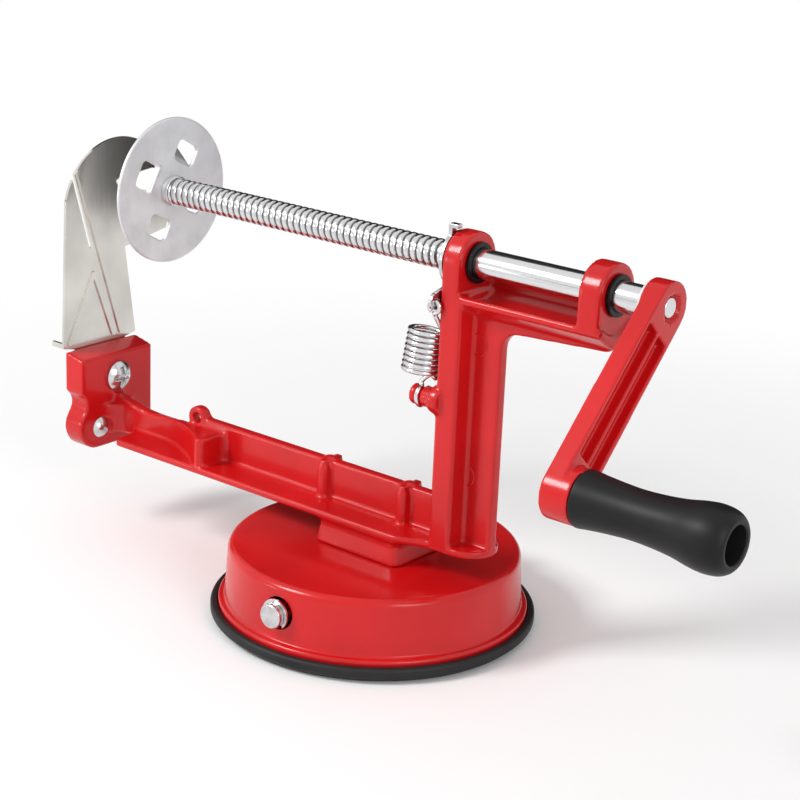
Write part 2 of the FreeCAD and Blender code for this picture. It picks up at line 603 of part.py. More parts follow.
def make_shaft_clip():
    """Open clip in the groove at the shaft's front end."""
    inside = "(cam_shaft_radius - clip_groove_depth + running_clearance)"
    body = new_body("shaft_clip")
    ring = new_sketch(body, "clip_ring", "XY", ("0", "0", CLIP_Y))
    add_circle(ring, "0", "0", "clip_radius")
    add_circle(ring, "0", "0", inside)
    pad(body, ring, "clip_thickness - running_clearance")
    mouth = new_sketch(body, "clip_mouth", "XY")
    add_outline(mouth, [
        ("-%s * %s" % (inside, SIDE), "0"),
        ("%s * %s" % (inside, SIDE), "0"),
        ("clip_radius", "-2 * clip_radius"),
        ("-clip_radius", "-2 * clip_radius"),
    ])
    cut(body, mouth, "4 * pad_radius", both_ways=True)
    place(body, "cam_shaft_x", "0", CAM_Z, (1, 0, 0), "90")


def screw_profile(head_radius, head_height, depth, shank):
    """Half section of a domed screw: shank below its seat at height 0."""
    rim = "%s / 3" % head_height
    dome = "(%s ^ 2 + (2 / 3 * %s) ^ 2) / (4 / 3 * %s)" % (head_radius, head_height, head_height)
    return [
        ("0", "-(%s)" % depth),
        (shank, "-(%s)" % depth),
        (shank, "0"),
        (head_radius, "0"),
        (head_radius, rim, dome, 1),
        ("0", head_height),
    ]


def group(label, bodies):
    """Joins identical fasteners into one sub-part of separate solids."""
    compound = doc.addObject("Part::Compound", label)
    compound.Label = label
    compound.Links = bodies
    for body in bodies:
        SUB_PARTS.remove(body)
    SUB_PARTS.append(compound)
    doc.recompute()


def make_frame_screws():
    """Screws from inside the housing up into the pedestal."""
    corners = screw_profile("screw_head_radius", "screw_head_height",
                            "housing_wall + frame_screw_depth", "screw_radius")
    bodies = []
    for number, centre in enumerate(FRAME_SCREWS, start=1):
        label = "frame_screw_%d" % number
        bodies.append(turned_part(label, corners, centre, "0", CEILING, (1, 0, 0), "180"))
    group("frame_screws", bodies)


def make_lever_screw():
    """Screw that holds the suction lever on its spigot."""
    corners = screw_profile("screw_head_radius", "screw_head_height",
                            "lever_screw_depth", "screw_radius")
    turned_part("lever_screw", corners, "cam_shaft_x", LEVER_Y + " + lever_thickness", CAM_Z,
                (1, 0, 0), "-90")


def add_rounded_rectangle(sketch, left, right, low, high, corner):
    """A rectangle with four round corners."""
    add_outline(sketch, [
        ("%s + %s" % (left, corner), low),
        ("%s - %s" % (right, corner), low, corner, 1),
        (right, "%s + %s" % (low, corner)),
        (right, "%s - %s" % (high, corner), corner, 1),
        ("%s - %s" % (right, corner), high),
        ("%s + %s" % (left, corner), high, corner, 1),
        (left, "%s - %s" % (high, corner)),
        (left, "%s + %s" % (low, corner), corner, 1),
    ])


def add_boss_outline(sketch, low):
    """Sides from a low edge up to a round top about the rod's axis."""
    crown = "rod_height + boss_radius"
    add_outline(sketch, [
        ("-boss_radius", low),
        ("boss_radius", low),
        ("boss_radius", "rod_height", "boss_radius", 1),
        ("0", crown, "boss_radius", 1),
        ("-boss_radius", "rod_height"),
    ])


def add_frame_base(body):
    """Pedestal, the beam's flange and the swept gusset on its front."""
    pedestal = new_sketch(body, "pedestal", "XY", ("0", "0", HOUSING_TOP))
    add_rounded_rectangle(pedestal, "pedestal_left", "pedestal_right", "-beam_half_width",
                          "beam_half_width", "pedestal_corner")
    pad(body, pedestal, "pedestal_height + beam_flange / 2", "pedestal_draft")
    flare = new_sketch(body, "pedestal_top", "XY", ("0", "0", BEAM_Z + " - pedestal_flare"))
    inset = "(pedestal_height * tan(-pedestal_draft))"
    add_rounded_rectangle(flare, "(pedestal_left + %s)" % inset, "(pedestal_right - %s)" % inset,
                          "(%s - beam_half_width)" % inset, "(beam_half_width - %s)" % inset,
                          "(pedestal_corner / 2)")
    pad(body, flare, "pedestal_flare + beam_flange / 2", "pedestal_flare_lean")
    plan = new_sketch(body, "beam_plan", "XY", ("0", "0", BEAM_Z))
    upright_right = "upright_left + upright_thickness"
    toe = "(upright_web_right - upright_left - upright_thickness)"
    add_outline(plan, [
        ("block_right - block_thickness / 2", "-web_half"),
        ("beam_left - web_half", "-web_half"),
        ("beam_left", "-beam_half_width"),
        ("beam_right", "-beam_half_width"),
        ("upright_left", "-boss_radius"),
        (upright_right, "-boss_radius", toe, 1),
        ("upright_web_right", "-web_half"),
        ("upright_web_right", "web_half", toe, 1),
        (upright_right, "boss_radius"),
        ("upright_left", "boss_radius"),
        ("beam_right", "beam_half_width"),
        ("beam_left", "beam_half_width"),
        ("beam_left - web_half", "web_half"),
        ("block_right - block_thickness / 2", "web_half"),
    ])
    pad(body, plan, "beam_flange")
    gusset = new_sketch(body, "gusset", "XY", ("0", "0", BEAM_Z + " + beam_flange / 2"))
    gusset_front = "-(beam_half_width - seat_gap)"
    add_outline(gusset, [
        ("gusset_left", "-web_half", "gusset_sweep", -1),
        ("gusset_right - gusset_nose", gusset_front, "gusset_nose", 1),
        ("gusset_right", gusset_front + " + gusset_nose"),
        ("gusset_right", "-(web_half + gusset_fillet)", "gusset_fillet", -1),
        ("gusset_right + gusset_fillet", "-web_half"),
        ("gusset_right + gusset_fillet", "0"),
        ("gusset_left", "0"),
    ])
    pad(body, gusset, "gusset_height - beam_flange / 2")
    slope = new_sketch(body, "gusset_slope", "XZ")
    gusset_top = "%s + gusset_height" % BEAM_Z
    add_outline(slope, [
        ("gusset_left - gusset_nose", WEB_LEFT_TOP),
        ("gusset_right - gusset_nose", gusset_top),
        ("gusset_right - gusset_nose", gusset_top + " + beam_flange"),
        ("gusset_left - gusset_nose", gusset_top + " + beam_flange"),
    ])
    cut(body, slope, "4 * beam_half_width", both_ways=True)


def add_frame_webs(body):
    """The web that runs through beam, upright and arm, its ribs and its eye."""
    web_low = "(rod_height - arm_web_drop)"
    web = new_sketch(body, "web", "XZ", ("0", "0", "-web_half"))
    under_flange = BEAM_Z + " + beam_flange / 2"
    inside_arm = "rod_height - (arm_trough_radius + arm_keel_drop) / 2"
    rise_radius = "(((web_rise_from - block_right) ^ 2 + web_rise ^ 2) / (2 * web_rise))"
    add_outline(web, [
        ("block_right - block_thickness / 2", under_flange),
        ("upright_web_right", under_flange),
        ("upright_web_right", web_low + " - inner_corner", "inner_corner", -1),
        ("upright_web_right + inner_corner", web_low),
        ("arm_right - arm_web_rise", web_low + " + arm_web_rise"),
        ("arm_right", web_low + " + 2 * arm_web_rise"),
        ("arm_right", inside_arm),
        ("upright_left + web_half", inside_arm),
        ("upright_left + web_half", WEB_TOP),
        ("ear_x + ear_radius", WEB_TOP),
        ("ear_x - ear_radius", WEB_LEFT_TOP),
        ("web_rise_from", WEB_LEFT_TOP, rise_radius, -1),
        ("block_right", WEB_LEFT_TOP + " + web_rise"),
        ("block_right - block_thickness / 2", WEB_LEFT_TOP + " + web_rise"),
    ])
    pad(body, web, "2 * web_half")
    corner = new_sketch(body, "web_corner", "XY", ("0", "0", BEAM_Z))
    corner_y = "(web_half + web_fillet)"
    add_outline(corner, [
        ("block_right - block_thickness / 2", "-" + corner_y),
        ("block_right", "-" + corner_y, "web_fillet", -1),
        ("block_right + web_fillet", "-web_half"),
        ("block_right + web_fillet", "web_half", "web_fillet", -1),
        ("block_right", corner_y),
        ("block_right - block_thickness / 2", corner_y),
    ])
    pad(body, corner, "web_left_height")
    eye = new_sketch(body, "eye", "XZ", ("0", "0", "-web_half"))
    add_circle(eye, "ear_x", BEAM_Z + " + ear_rise", "ear_radius")
    pad(body, eye, "2 * web_half")
    eye_hole = new_sketch(body, "eye_hole", "XZ")
    add_circle(eye_hole, "ear_x", BEAM_Z + " + ear_rise", "ear_hole_radius")
    cut(body, eye_hole, "4 * beam_half_width", both_ways=True)
    ribs = new_sketch(body, "ribs", "XY", ("0", "0", BEAM_Z + " + beam_flange / 2"))
    rib_y = "(web_half + rib_reach)"
    for place_in_row in range(2):
        middle = "rib_first_x + %d * rib_spacing" % place_in_row
        left = middle + " - rib_thickness / 2"
        right = middle + " + rib_thickness / 2"
        add_outline(ribs, [(left, "-" + rib_y), (right, "-" + rib_y), (right, rib_y), (left, rib_y)])
    pad(body, ribs, "web_height - beam_flange / 2 + moving_gap")


def add_frame_upright(body):
    """Upright with its front boss, the hollow arm and the rear boss."""
    front = new_sketch(body, "front_boss", "YZ", ("0", "0", "upright_left"))
    add_boss_outline(front, BEAM_Z)
    pad(body, front, "front_boss_length")
    flange = new_sketch(body, "upright_flange", "YZ", ("0", "0", "upright_left"))
    add_outline(flange, [
        ("-boss_radius", BEAM_Z),
        ("boss_radius", BEAM_Z),
        ("boss_radius", LIP_Z),
        ("-boss_radius", LIP_Z),
    ])
    pad(body, flange, "upright_thickness")
    arm = new_sketch(body, "arm", "YZ", ("0", "0", "upright_left + front_boss_length / 2"))
    lip_inside = "(boss_radius - arm_lip_thickness)"
    keel = "rod_height - arm_keel_drop"
    add_outline(arm, [
        ("-boss_radius", LIP_Z),
        ("-boss_radius", LIP_Z + " - arm_lip_thickness"),
        ("-web_half", keel),
        ("web_half", keel),
        ("boss_radius", LIP_Z + " - arm_lip_thickness"),
        ("boss_radius", LIP_Z),
        (lip_inside, LIP_Z, "arm_trough_radius", -1),
        ("-" + lip_inside, LIP_Z),
    ])
    pad(body, arm, "arm_right - upright_left - front_boss_length / 2")
    rear = new_sketch(body, "rear_boss", "YZ", ("0", "0", "rear_boss_left"))
    add_boss_outline(rear, LIP_Z + " - arm_lip_thickness")
    pad(body, rear, "rear_boss_length")
    bore = new_sketch(body, "bush_bores", "YZ")
    add_circle(bore, "0", "rod_height", BUSH_RADIUS + " + running_clearance")
    cut(body, bore, "4 * arm_right", both_ways=True)


def add_spring_peg(body):
    """Grooved peg on the upright for the lower end of the feed spring."""
    peg = new_sketch(body, "peg", "YZ", ("0", "0", "upright_left - peg_length"))
    add_circle(peg, "peg_y", PEG_Z, "peg_radius")
    pad(body, peg, "peg_length + web_half")
    shoulder = new_sketch(body, "peg_shoulder", "YZ", ("0", "0", "upright_left - peg_shoulder_length"))
    add_circle(shoulder, "peg_y", PEG_Z, "peg_shoulder_radius")
    pad(body, shoulder, "peg_shoulder_length + web_half")
    groove = new_sketch(body, "peg_groove", "YZ", ("0", "0", "upright_left - peg_groove_from"))
    add_circle(groove, "peg_y", PEG_Z, "2 * peg_radius")
    add_circle(groove, "peg_y", PEG_Z, "peg_groove_radius")
    cut(body, groove, "peg_groove_width")


def add_blade_block(body):
    """Block that carries the blade plate: a waist and a round lobe on its front side."""
    block = new_sketch(body, "blade_block", "YZ", ("0", "0", PLATE_X))
    lobe_meet = ("(block_lobe_y + sqrt(block_lobe_radius ^ 2"
                 " - (block_waist_bottom - block_lobe_z) ^ 2))")
    lobe_low = "(block_lobe_z - block_lobe_radius)"
    add_outline(block, [
        ("-block_half_width", "block_top"),
        ("block_half_width", "block_top"),
        ("block_half_width", "block_lobe_z", "block_lobe_radius", -1),
        ("block_half_width - block_lobe_radius", lobe_low),
        ("-block_lobe_y", lobe_low, "block_lobe_radius", -1),
        ("-" + lobe_meet, "block_waist_bottom", "block_waist_radius", 1),
        ("-block_half_width", "block_waist_top"),
    ])
    pad(body, block, "block_thickness")
    slope = new_sketch(body, "block_slope", "XZ")
    add_outline(slope, [
        (PLATE_X, "block_top"),
        ("block_right", "block_top - block_top_slope"),
        ("block_right + block_thickness", "block_top - block_top_slope"),
        ("block_right + block_thickness", "block_top + block_thickness"),
        (PLATE_X, "block_top + block_thickness"),
    ])
    cut(body, slope, "4 * block_half_width", both_ways=True)
    seats = new_sketch(body, "rivet_seats", "YZ", ("0", "0", "block_right + web_fillet"))
    for side in ("-rivet_y", "rivet_y"):
        add_circle(seats, side, "rivet_z", "rivet_head_radius + moving_gap")
    cut(body, seats, "web_fillet")
    holes = new_sketch(body, "block_holes", "YZ", ("0", "0", "block_right"))
    add_plate_holes(holes)
    cut(body, holes, "2 * block_thickness")


def add_plate_holes(sketch):
    """Holes for the blade screw and the two rivets."""
    add_circle(sketch, "0", "blade_screw_z", "screw_radius + running_clearance")
    for side in ("-rivet_y", "rivet_y"):
        add_circle(sketch, side, "rivet_z", "screw_radius + running_clearance")


def make_frame():
    """The casting that carries everything: base, webs, upright, arm and block."""
    body = new_body("frame")
    add_frame_base(body)
    add_frame_webs(body)
    add_frame_upright(body)
    add_blade_block(body)
    add_spring_peg(body)
    holes = new_sketch(body, "pedestal_holes", "XY", ("0", "0", HOUSING_TOP))
    for centre in FRAME_SCREWS:
        add_circle(holes, centre, "0", "screw_radius + running_clearance")
    cut(body, holes, "2 * (frame_screw_depth + seat_gap)", both_ways=True)
    pivot_hole = new_sketch(body, "pivot_hole", "YZ", ("0", "0", "upright_left"))
    add_circle(pivot_hole, "feed_pivot_y", PIVOT_Z, "feed_pivot_radius + running_clearance")
    cut(body, pivot_hole, "2 * (upright_thickness - seat_gap)", both_ways=True)


def make_bush(label, face_x, length):
    """Flanged bush whose flange lies on the outer face of a boss."""
    turned_part(label, [
        (BORE_RADIUS, "-(%s)" % length),
        (BUSH_RADIUS, "-(%s)" % length),
        (BUSH_RADIUS, "0"),
        ("bush_flange_radius", "0"),
        ("bush_flange_radius", "bush_flange"),
        (BORE_RADIUS, "bush_flange"),
    ], face_x, "0", "rod_height", (0, 1, 0), "90")


def make_drive_rod():
    """Rod with a plain journal, a threaded stretch and a spigot at each end."""
    nut_end = "disc_x - disc_thickness / 2 - nut_height - seat_gap"
    collar_end = "disc_x + disc_thickness / 2 + collar_length"
    turned_part("drive_rod", [
        ("0", nut_end),
        ("rod_spigot_radius - seat_gap", nut_end),
        ("rod_spigot_radius", nut_end + " + seat_gap"),
        ("rod_spigot_radius", collar_end),
        ("rod_radius", collar_end),
        ("rod_radius", "crank_hub_x"),
        ("rod_spigot_radius", "crank_hub_x"),
        ("rod_spigot_radius", "rod_end_x - seat_gap"),
        ("rod_spigot_radius - seat_gap", "rod_end_x"),
        ("0", "rod_end_x"),
    ], "0", "0", "rod_height", (0, 1, 0), "90")


def make_pusher_disc():
    """Disc with four windows whose metal is bent forwards into prongs."""
    body = new_body("pusher_disc")
    disc = new_sketch(body, "disc", "YZ", ("0", "0", "-disc_thickness / 2"))
    add_circle(disc, "0", "0", "disc_radius")
    add_circle(disc, "0", "0", "rod_spigot_radius + running_clearance")
    pad(body, disc, "disc_thickness")
    window = new_sketch(body, "window", "YZ")
    inner = "(disc_window_pitch - disc_window_depth / 2)"
    add_rounded_rectangle(window, "-disc_window_width / 2", "disc_window_width / 2", inner,
                          "(disc_window_pitch + disc_window_depth / 2)", "disc_window_corner")
    opening = cut(body, window, "4 * disc_thickness", both_ways=True)
    prong = new_sketch(body, "prong", "XY", ("0", "0", inner + " - disc_thickness"))
    add_outline(prong, [
        ("disc_thickness / 2", "-prong_width / 2"),
        ("disc_thickness / 2", "prong_width / 2"),
        ("-prong_tip", "prong_width / 2"),
        ("-(prong_length - prong_tip / 2)", "-(prong_width / 2 - prong_tip)"),
        ("-prong_length", "-(prong_width - prong_tip) / 2"),
        ("-(prong_length - prong_tip / 2)", "-prong_width / 2"),
    ])
    tooth = pad(body, prong, "disc_thickness")
    pattern = body.newObject("PartDesign::PolarPattern", "four_prongs")
    pattern.Originals = [opening, tooth]
    for feature in body.Origin.OriginFeatures:
        if feature.Role == "X_Axis":
            pattern.Axis = (feature, [""])
    pattern.Angle = 360
    pattern.Occurrences = 4
    body.Tip = pattern
    doc.recompute()
    place(body, "disc_x", "0", "rod_height", (1, 0, 0), "disc_window_turn")


def make_disc_collar():
    """Collar between the disc and the rod's shoulder."""
    bore = "(rod_spigot_radius + running_clearance)"
    turned_part("disc_collar", [
        (bore, "0"),
        ("collar_radius", "0"),
        ("collar_radius", "collar_length - seat_gap"),
        ("collar_radius - seat_gap", "collar_length"),
        (bore, "collar_length"),
    ], "disc_x + disc_thickness / 2", "0", "rod_height", (0, 1, 0), "90")


def make_nut(label, bore, x, y, z):
    """Hexagon nut on an axis along X, its right face at x."""
    body = new_body(label)
    sketch = new_sketch(body, label + "_hexagon", "YZ", ("0", "0", "-nut_height"))
    corner = "nut_flats / sqrt(3)"
    add_outline(sketch, [
        ("%s * cos(%d)" % (corner, angle), "%s * sin(%d)" % (corner, angle))
        for angle in range(30, 390, 60)
    ])
    add_circle(sketch, "0", "0", bore)
    pad(body, sketch, "nut_height")
    place(body, x, y, z)


def make_blade_plate():
    """Blade plate: a foot behind the block, a neck and a round, ridged head with a slit."""
    body = new_body("blade_plate")
    plane = ("0", "0", PLATE_X + " - plate_thickness")
    outline = new_sketch(body, "plate_outline", "YZ", plane)
    left_meet = HEAD_Z + " + sqrt(head_radius ^ 2 - (head_y - head_left_y) ^ 2)"
    add_outline(outline, [
        ("-plate_foot_half_width", "plate_foot_bottom"),
        ("-plate_foot_half_width", "plate_shoulder - plate_thickness"),
        ("plate_left_y", "plate_shoulder"),
        ("head_left_y", left_meet, "head_radius", -1),
        ("head_y", HEAD_Z + " + head_radius", "head_radius", -1),
        ("head_y + head_radius * cos(25)", HEAD_Z + " - head_radius * sin(25)"),
        ("neck_right_y", "rod_height - neck_right_drop"),
        ("plate_right_y", "plate_shoulder"),
        ("plate_foot_half_width", "plate_shoulder - plate_thickness"),
        ("plate_foot_half_width", "plate_foot_bottom"),
    ])
    pad(body, outline, "plate_thickness")
    holes = new_sketch(body, "plate_holes", "YZ", ("0", "0", PLATE_X))
    add_plate_holes(holes)
    cut(body, holes, "2 * plate_thickness")
    slit = new_sketch(body, "slit", "YZ", ("0", "0", PLATE_X))
    lean_y = "slit_length / 2 * sin(slit_lean)"
    lean_z = "slit_length * cos(slit_lean)"
    add_slot(slit, ("slit_y - " + lean_y, "rod_height"), ("slit_y + " + lean_y, "rod_height - " + lean_z),
             "slit_width / 2")
    cut(body, slit, "2 * plate_thickness")
    fork = ("fork_y", "rod_height - fork_drop")
    ridge_low = "plate_shoulder + ridge_width"
    ridges = (
        (("blade_ridge_top_y", "rod_height + ridge_width"), ("blade_ridge_low_y", ridge_low)),
        (fork, ("fork_left_y", ridge_low)),
        (fork, ("fork_right_y", ridge_low)),
    )
    for number, (start, end) in enumerate(ridges, start=1):
        ridge = new_sketch(body, "ridge_%d" % number, "YZ", ("0", "0", PLATE_X + " - plate_thickness / 2"))
        add_slot(ridge, start, end, "ridge_width / 2")
        pad(body, ridge, "plate_thickness / 2 + ridge_height")
    tab = new_sketch(body, "plate_tab", "XY", ("0", "0", "plate_shoulder"))
    add_outline(tab, [
        (PLATE_X, "plate_left_y"),
        (PLATE_X, "plate_left_y + plate_thickness"),
        (PLATE_X + " - plate_thickness - plate_tab_length", "plate_left_y + plate_thickness"),
        (PLATE_X + " - plate_thickness - plate_tab_length", "plate_left_y"),
    ])
    pad(body, tab, "plate_tab_height")


def make_blade_screw():
    """Screw through the block that clamps the blade plate."""
    depth = "block_thickness + plate_thickness + nut_height + seat_gap"
    corners = screw_profile("blade_screw_head_radius", "blade_screw_head_height", depth,
                            "screw_radius")
    turned_part("blade_screw", corners, "block_right", "0", "blade_screw_z", (0, 1, 0), "90")


def make_blade_rivets():
    """Rivets that locate the plate's foot, domed at both ends."""
    length = "block_thickness + plate_thickness"
    head = "rivet_head_height"
    dome = "(rivet_head_radius ^ 2 + %s ^ 2) / (2 * %s)" % (head, head)
    corners = [
        ("0", "-(%s) - %s" % (length, head), dome, 1),
        ("rivet_head_radius", "-(%s)" % length),
        ("screw_radius", "-(%s)" % length),
        ("screw_radius", "0"),
        ("rivet_head_radius", "0", dome, 1),
        ("0", head),
    ]
    bodies = []
    for number, side in enumerate(("-rivet_y", "rivet_y"), start=1):
        label = "blade_rivet_%d" % number
        bodies.append(turned_part(label, corners, "block_right", side, "rivet_z", (0, 1, 0), "90"))
    group("blade_rivets", bodies)


def make_feed_lever():
    """Half nut: a plate that its spring pulls against the rod's thread."""
    body = new_body("feed_lever")
    plane = ("0", "0", FEED_X)
    ring = new_sketch(body, "feed_ring", "YZ", plane)
    add_circle(ring, "0", "rod_height", "feed_plate_radius")
    pad(body, ring, "feed_plate_thickness")
    lobe = new_sketch(body, "feed_lobe", "YZ", plane)
    add_slot(lobe, ("0", "rod_height"), ("feed_pivot_y", PIVOT_Z), "feed_lobe_radius")
    pad(body, lobe, "feed_plate_thickness")
    ear = new_sketch(body, "feed_ear", "YZ", plane)
    add_slot(ear, ("0", "rod_height - feed_plate_radius"), ("feed_ear_y", EAR_Z), "feed_ear_radius")
    pad(body, ear, "feed_plate_thickness")
    tab = new_sketch(body, "feed_tab", "YZ", plane)
    tab_right = "(feed_tab_left + feed_tab_width)"
    tab_top = "(rod_height + feed_tab_height)"
    add_outline(tab, [
        ("feed_tab_left", "rod_height + rod_radius"),
        (tab_right, "rod_height + rod_radius"),
        (tab_right, tab_top),
        ("feed_tab_left", tab_top),
    ])
    pad(body, tab, "feed_plate_thickness")
    bend = new_sketch(body, "feed_bend", "XY", ("0", "0", tab_top + " - feed_plate_thickness"))
    add_outline(bend, [
        (FEED_X, "feed_tab_left"),
        (FEED_X + " + feed_tab_reach", "feed_tab_left"),
        (FEED_X + " + feed_tab_reach", tab_right),
        (FEED_X, tab_right),
    ])
    pad(body, bend, "feed_plate_thickness")
    slot = new_sketch(body, "feed_slot", "YZ", plane)
    add_slot(slot, ("0", "rod_height"), ("feed_slot_y", "rod_height - feed_slot_drop"),
             "rod_radius + moving_gap")
    cut(body, slot, "4 * feed_plate_thickness", both_ways=True)
    holes = new_sketch(body, "feed_holes", "YZ", plane)
    add_circle(holes, "feed_pivot_y", PIVOT_Z, "feed_pivot_radius + running_clearance")
    add_circle(holes, "feed_ear_y", EAR_Z, "feed_ear_hole")
    cut(body, holes, "4 * feed_plate_thickness", both_ways=True)


def make_feed_lever_pivot():
    """Shouldered screw that the feed lever swings on."""
    depth = "feed_plate_thickness + 2 * seat_gap + upright_thickness - 2 * seat_gap - moving_gap"
    corners = screw_profile("screw_head_radius", "screw_head_height", depth, "feed_pivot_radius")
    turned_part("feed_lever_pivot", corners, FEED_X + " - seat_gap", "feed_pivot_y", PIVOT_Z,
                (0, 1, 0), "-90")


def make_feed_spring():
    """Tension spring from the peg's groove to the ear of the feed lever."""
    wire = size("spring_wire")
    mean = size("spring_radius")
    peg_x = size("upright_left - peg_groove_from - peg_groove_width / 2")
    peg_point = FreeCAD.Vector(peg_x, size("peg_y"), size(PEG_Z))
    loop = size("peg_groove_radius + spring_wire") + size("running_clearance")
    ear_loop = size("feed_ear_radius") - wire
    ear_point = FreeCAD.Vector(size(FEED_X + " + feed_plate_thickness / 2"), size("feed_ear_y"),
                               size(EAR_Z) - ear_loop)
    low = FreeCAD.Vector(size("spring_low_x"), size("spring_low_y"),
                         size("rod_height - spring_low_drop"))
    high = FreeCAD.Vector(size("spring_high_x"), size("spring_high_y"), low.z + size("spring_rise"))
    axis = (high - low).normalize()
    length = (high - low).Length
    coil = Part.makeCylinder(mean + wire, length, low, axis)
    coil = coil.cut(Part.makeCylinder(mean - wire, length, low, axis))
    lower_loop = Part.makeTorus(loop, wire, peg_point, FreeCAD.Vector(1, 0, 0))
    upper_loop = Part.makeTorus(ear_loop, wire, ear_point, FreeCAD.Vector(0, 1, 0))
    side = axis.cross(FreeCAD.Vector(0, 1, 0)).normalize() * -mean
    pieces = [coil, lower_loop, upper_loop]
    loop_top = peg_point + FreeCAD.Vector(0, 0, loop)
    hook_top = loop_top + FreeCAD.Vector(0, 0, 2 * wire)
    pieces.append(wire_between(loop_top, hook_top, wire))
    pieces.append(wire_between(hook_top, low + side, wire))
    pieces.append(wire_between(high + side, ear_point - FreeCAD.Vector(0, 0, ear_loop), wire))
    shape = pieces[0].multiFuse(pieces[1:])
    spring = doc.addObject("Part::Feature", "feed_spring")
    spring.Label = "feed_spring"
    spring.Shape = shape
    SUB_PARTS.append(spring)


def wire_between(start, end, radius):
    """A straight stretch of wire that runs on past both ends by its radius."""
    along = (end - start).normalize()
    length = (end - start).Length + 2 * radius
    return Part.makeCylinder(radius, length, start - along * radius, along)


def make_rod_washer():
    """Thrust washer between the crank's hub and the rear bush."""
    turned_part("rod_washer", [
        (BORE_RADIUS, "0"),
        ("washer_radius", "0"),
        ("washer_radius", "washer_thickness"),
        (BORE_RADIUS, "washer_thickness"),
    ], "crank_hub_x - washer_thickness - running_clearance", "0", "rod_height", (0, 1, 0), "90")


def make_crank_arm():
    """Cast crank: a hub, an arm with two channels and a foot for the grip."""
    body = new_body("crank_arm")
    hub = new_sketch(body, "crank_hub", "XY")
    add_circle(hub, "0", "0", "crank_hub_radius")
    pad(body, hub, "crank_hub_length")
    bar = new_sketch(body, "crank_bar_outline", "XY", ("0", "0", "crank_hub_length - crank_arm_thickness"))
    add_taper(bar, "crank_throw", "crank_hub_radius", "crank_foot_radius")
    pad(body, bar, "crank_arm_thickness")
    foot = new_sketch(body, "crank_foot", "XY", ("0", "0", "crank_hub_length"))
    add_circle(foot, "-crank_throw", "0", "crank_foot_radius")
    pad(body, foot, "crank_foot_length")
    channels = new_sketch(body, "crank_channels", "XY", ("0", "0", "crank_hub_length"))
    inner = "crank_rim / 2"
    outer = "(crank_hub_radius - crank_rim)"
    near = "-(crank_hub_radius + crank_rim)"
    far = "-(crank_throw - crank_foot_radius - crank_rim)"
    for low, high in (("-" + outer, "-" + inner), (inner, outer)):
        add_outline(channels, [(far, low), (near, low), (near, high), (far, high)])
    cut(body, channels, "crank_channel_depth")
    bores = new_sketch(body, "crank_bores", "XY")
    add_circle(bores, "0", "0", "rod_spigot_radius + running_clearance")
    add_circle(bores, "-crank_throw", "0", "axle_radius + running_clearance")
    cut(body, bores, "4 * (crank_hub_length + crank_foot_length)", both_ways=True)
    tilt = FreeCAD.Rotation(FreeCAD.Vector(1, 0, 0), -size("crank_angle"))
    upright = FreeCAD.Rotation(FreeCAD.Vector(0, 1, 0), 90)
    body.Placement = FreeCAD.Placement(
        FreeCAD.Vector(size("crank_hub_x"), 0, size("rod_height")),
        tilt.multiply(upright).multiply(FreeCAD.Rotation(FreeCAD.Vector(0, 0, 1), 180)))


def grip_place(x):
    """The place of a piece on the grip's axis."""
    return (x, "-crank_throw * sin(crank_angle)", "rod_height - crank_throw * cos(crank_angle)",
            (0, 1, 0), "90")


def make_grip():
    """Turned handle with a waist, a bulb and a deep recess in its end."""
    bore = "(axle_radius + running_clearance)"
    recess_floor = "(grip_length - grip_recess_depth)"
    waist_rise = "(grip_swell_radius - grip_waist_radius)"
    sweep = "((grip_swell_at - grip_waist_at) ^ 2 + %s ^ 2) / (2 * %s)" % (waist_rise, waist_rise)
    neck_rise = "(grip_neck_radius - grip_waist_radius)"
    neck_sweep = "(grip_waist_at ^ 2 + %s ^ 2) / (2 * %s)" % (neck_rise, neck_rise)
    turned_part("grip", [
        (bore, "0"),
        ("grip_neck_radius - seat_gap", "0"),
        ("grip_neck_radius", "seat_gap", neck_sweep, -1),
        ("grip_waist_radius", "grip_waist_at", sweep, -1),
        ("grip_swell_radius", "grip_swell_at", "grip_length", 1),
        ("grip_bulb_radius", "grip_bulb_at", "grip_bulb_radius", 1),
        ("grip_end_radius", "grip_length"),
        ("grip_recess_radius", "grip_length"),
        ("grip_recess_radius", recess_floor),
        (bore, recess_floor),
    ], *grip_place(GRIP_X))


def make_grip_axle():
    """Shouldered pin fixed in the crank's foot; the grip spins on it."""
    start = "(-%s + %s)" % (GRIP_X, ARM_BACK)
    seat = "(grip_length - grip_recess_depth + washer_thickness + moving_gap)"
    turned_part("grip_axle", [
        ("0", start),
        ("axle_radius", start),
        ("axle_radius", seat),
        ("axle_head_radius", seat),
        ("axle_head_radius", seat + " + axle_head_height - seat_gap"),
        ("axle_head_radius - seat_gap", seat + " + axle_head_height"),
        ("0", seat + " + axle_head_height"),
    ], *grip_place(GRIP_X))


def make_grip_washer():
    """Washer under the axle's head, in the floor of the grip's recess."""
    floor = "(grip_length - grip_recess_depth)"
    bore = "(axle_radius + running_clearance)"
    turned_part("grip_washer", [
        (bore, floor + " + moving_gap / 2"),
        ("axle_head_radius", floor + " + moving_gap / 2"),
        ("axle_head_radius", floor + " + moving_gap / 2 + washer_thickness"),
        (bore, floor + " + moving_gap / 2 + washer_thickness"),
    ], *grip_place(GRIP_X))


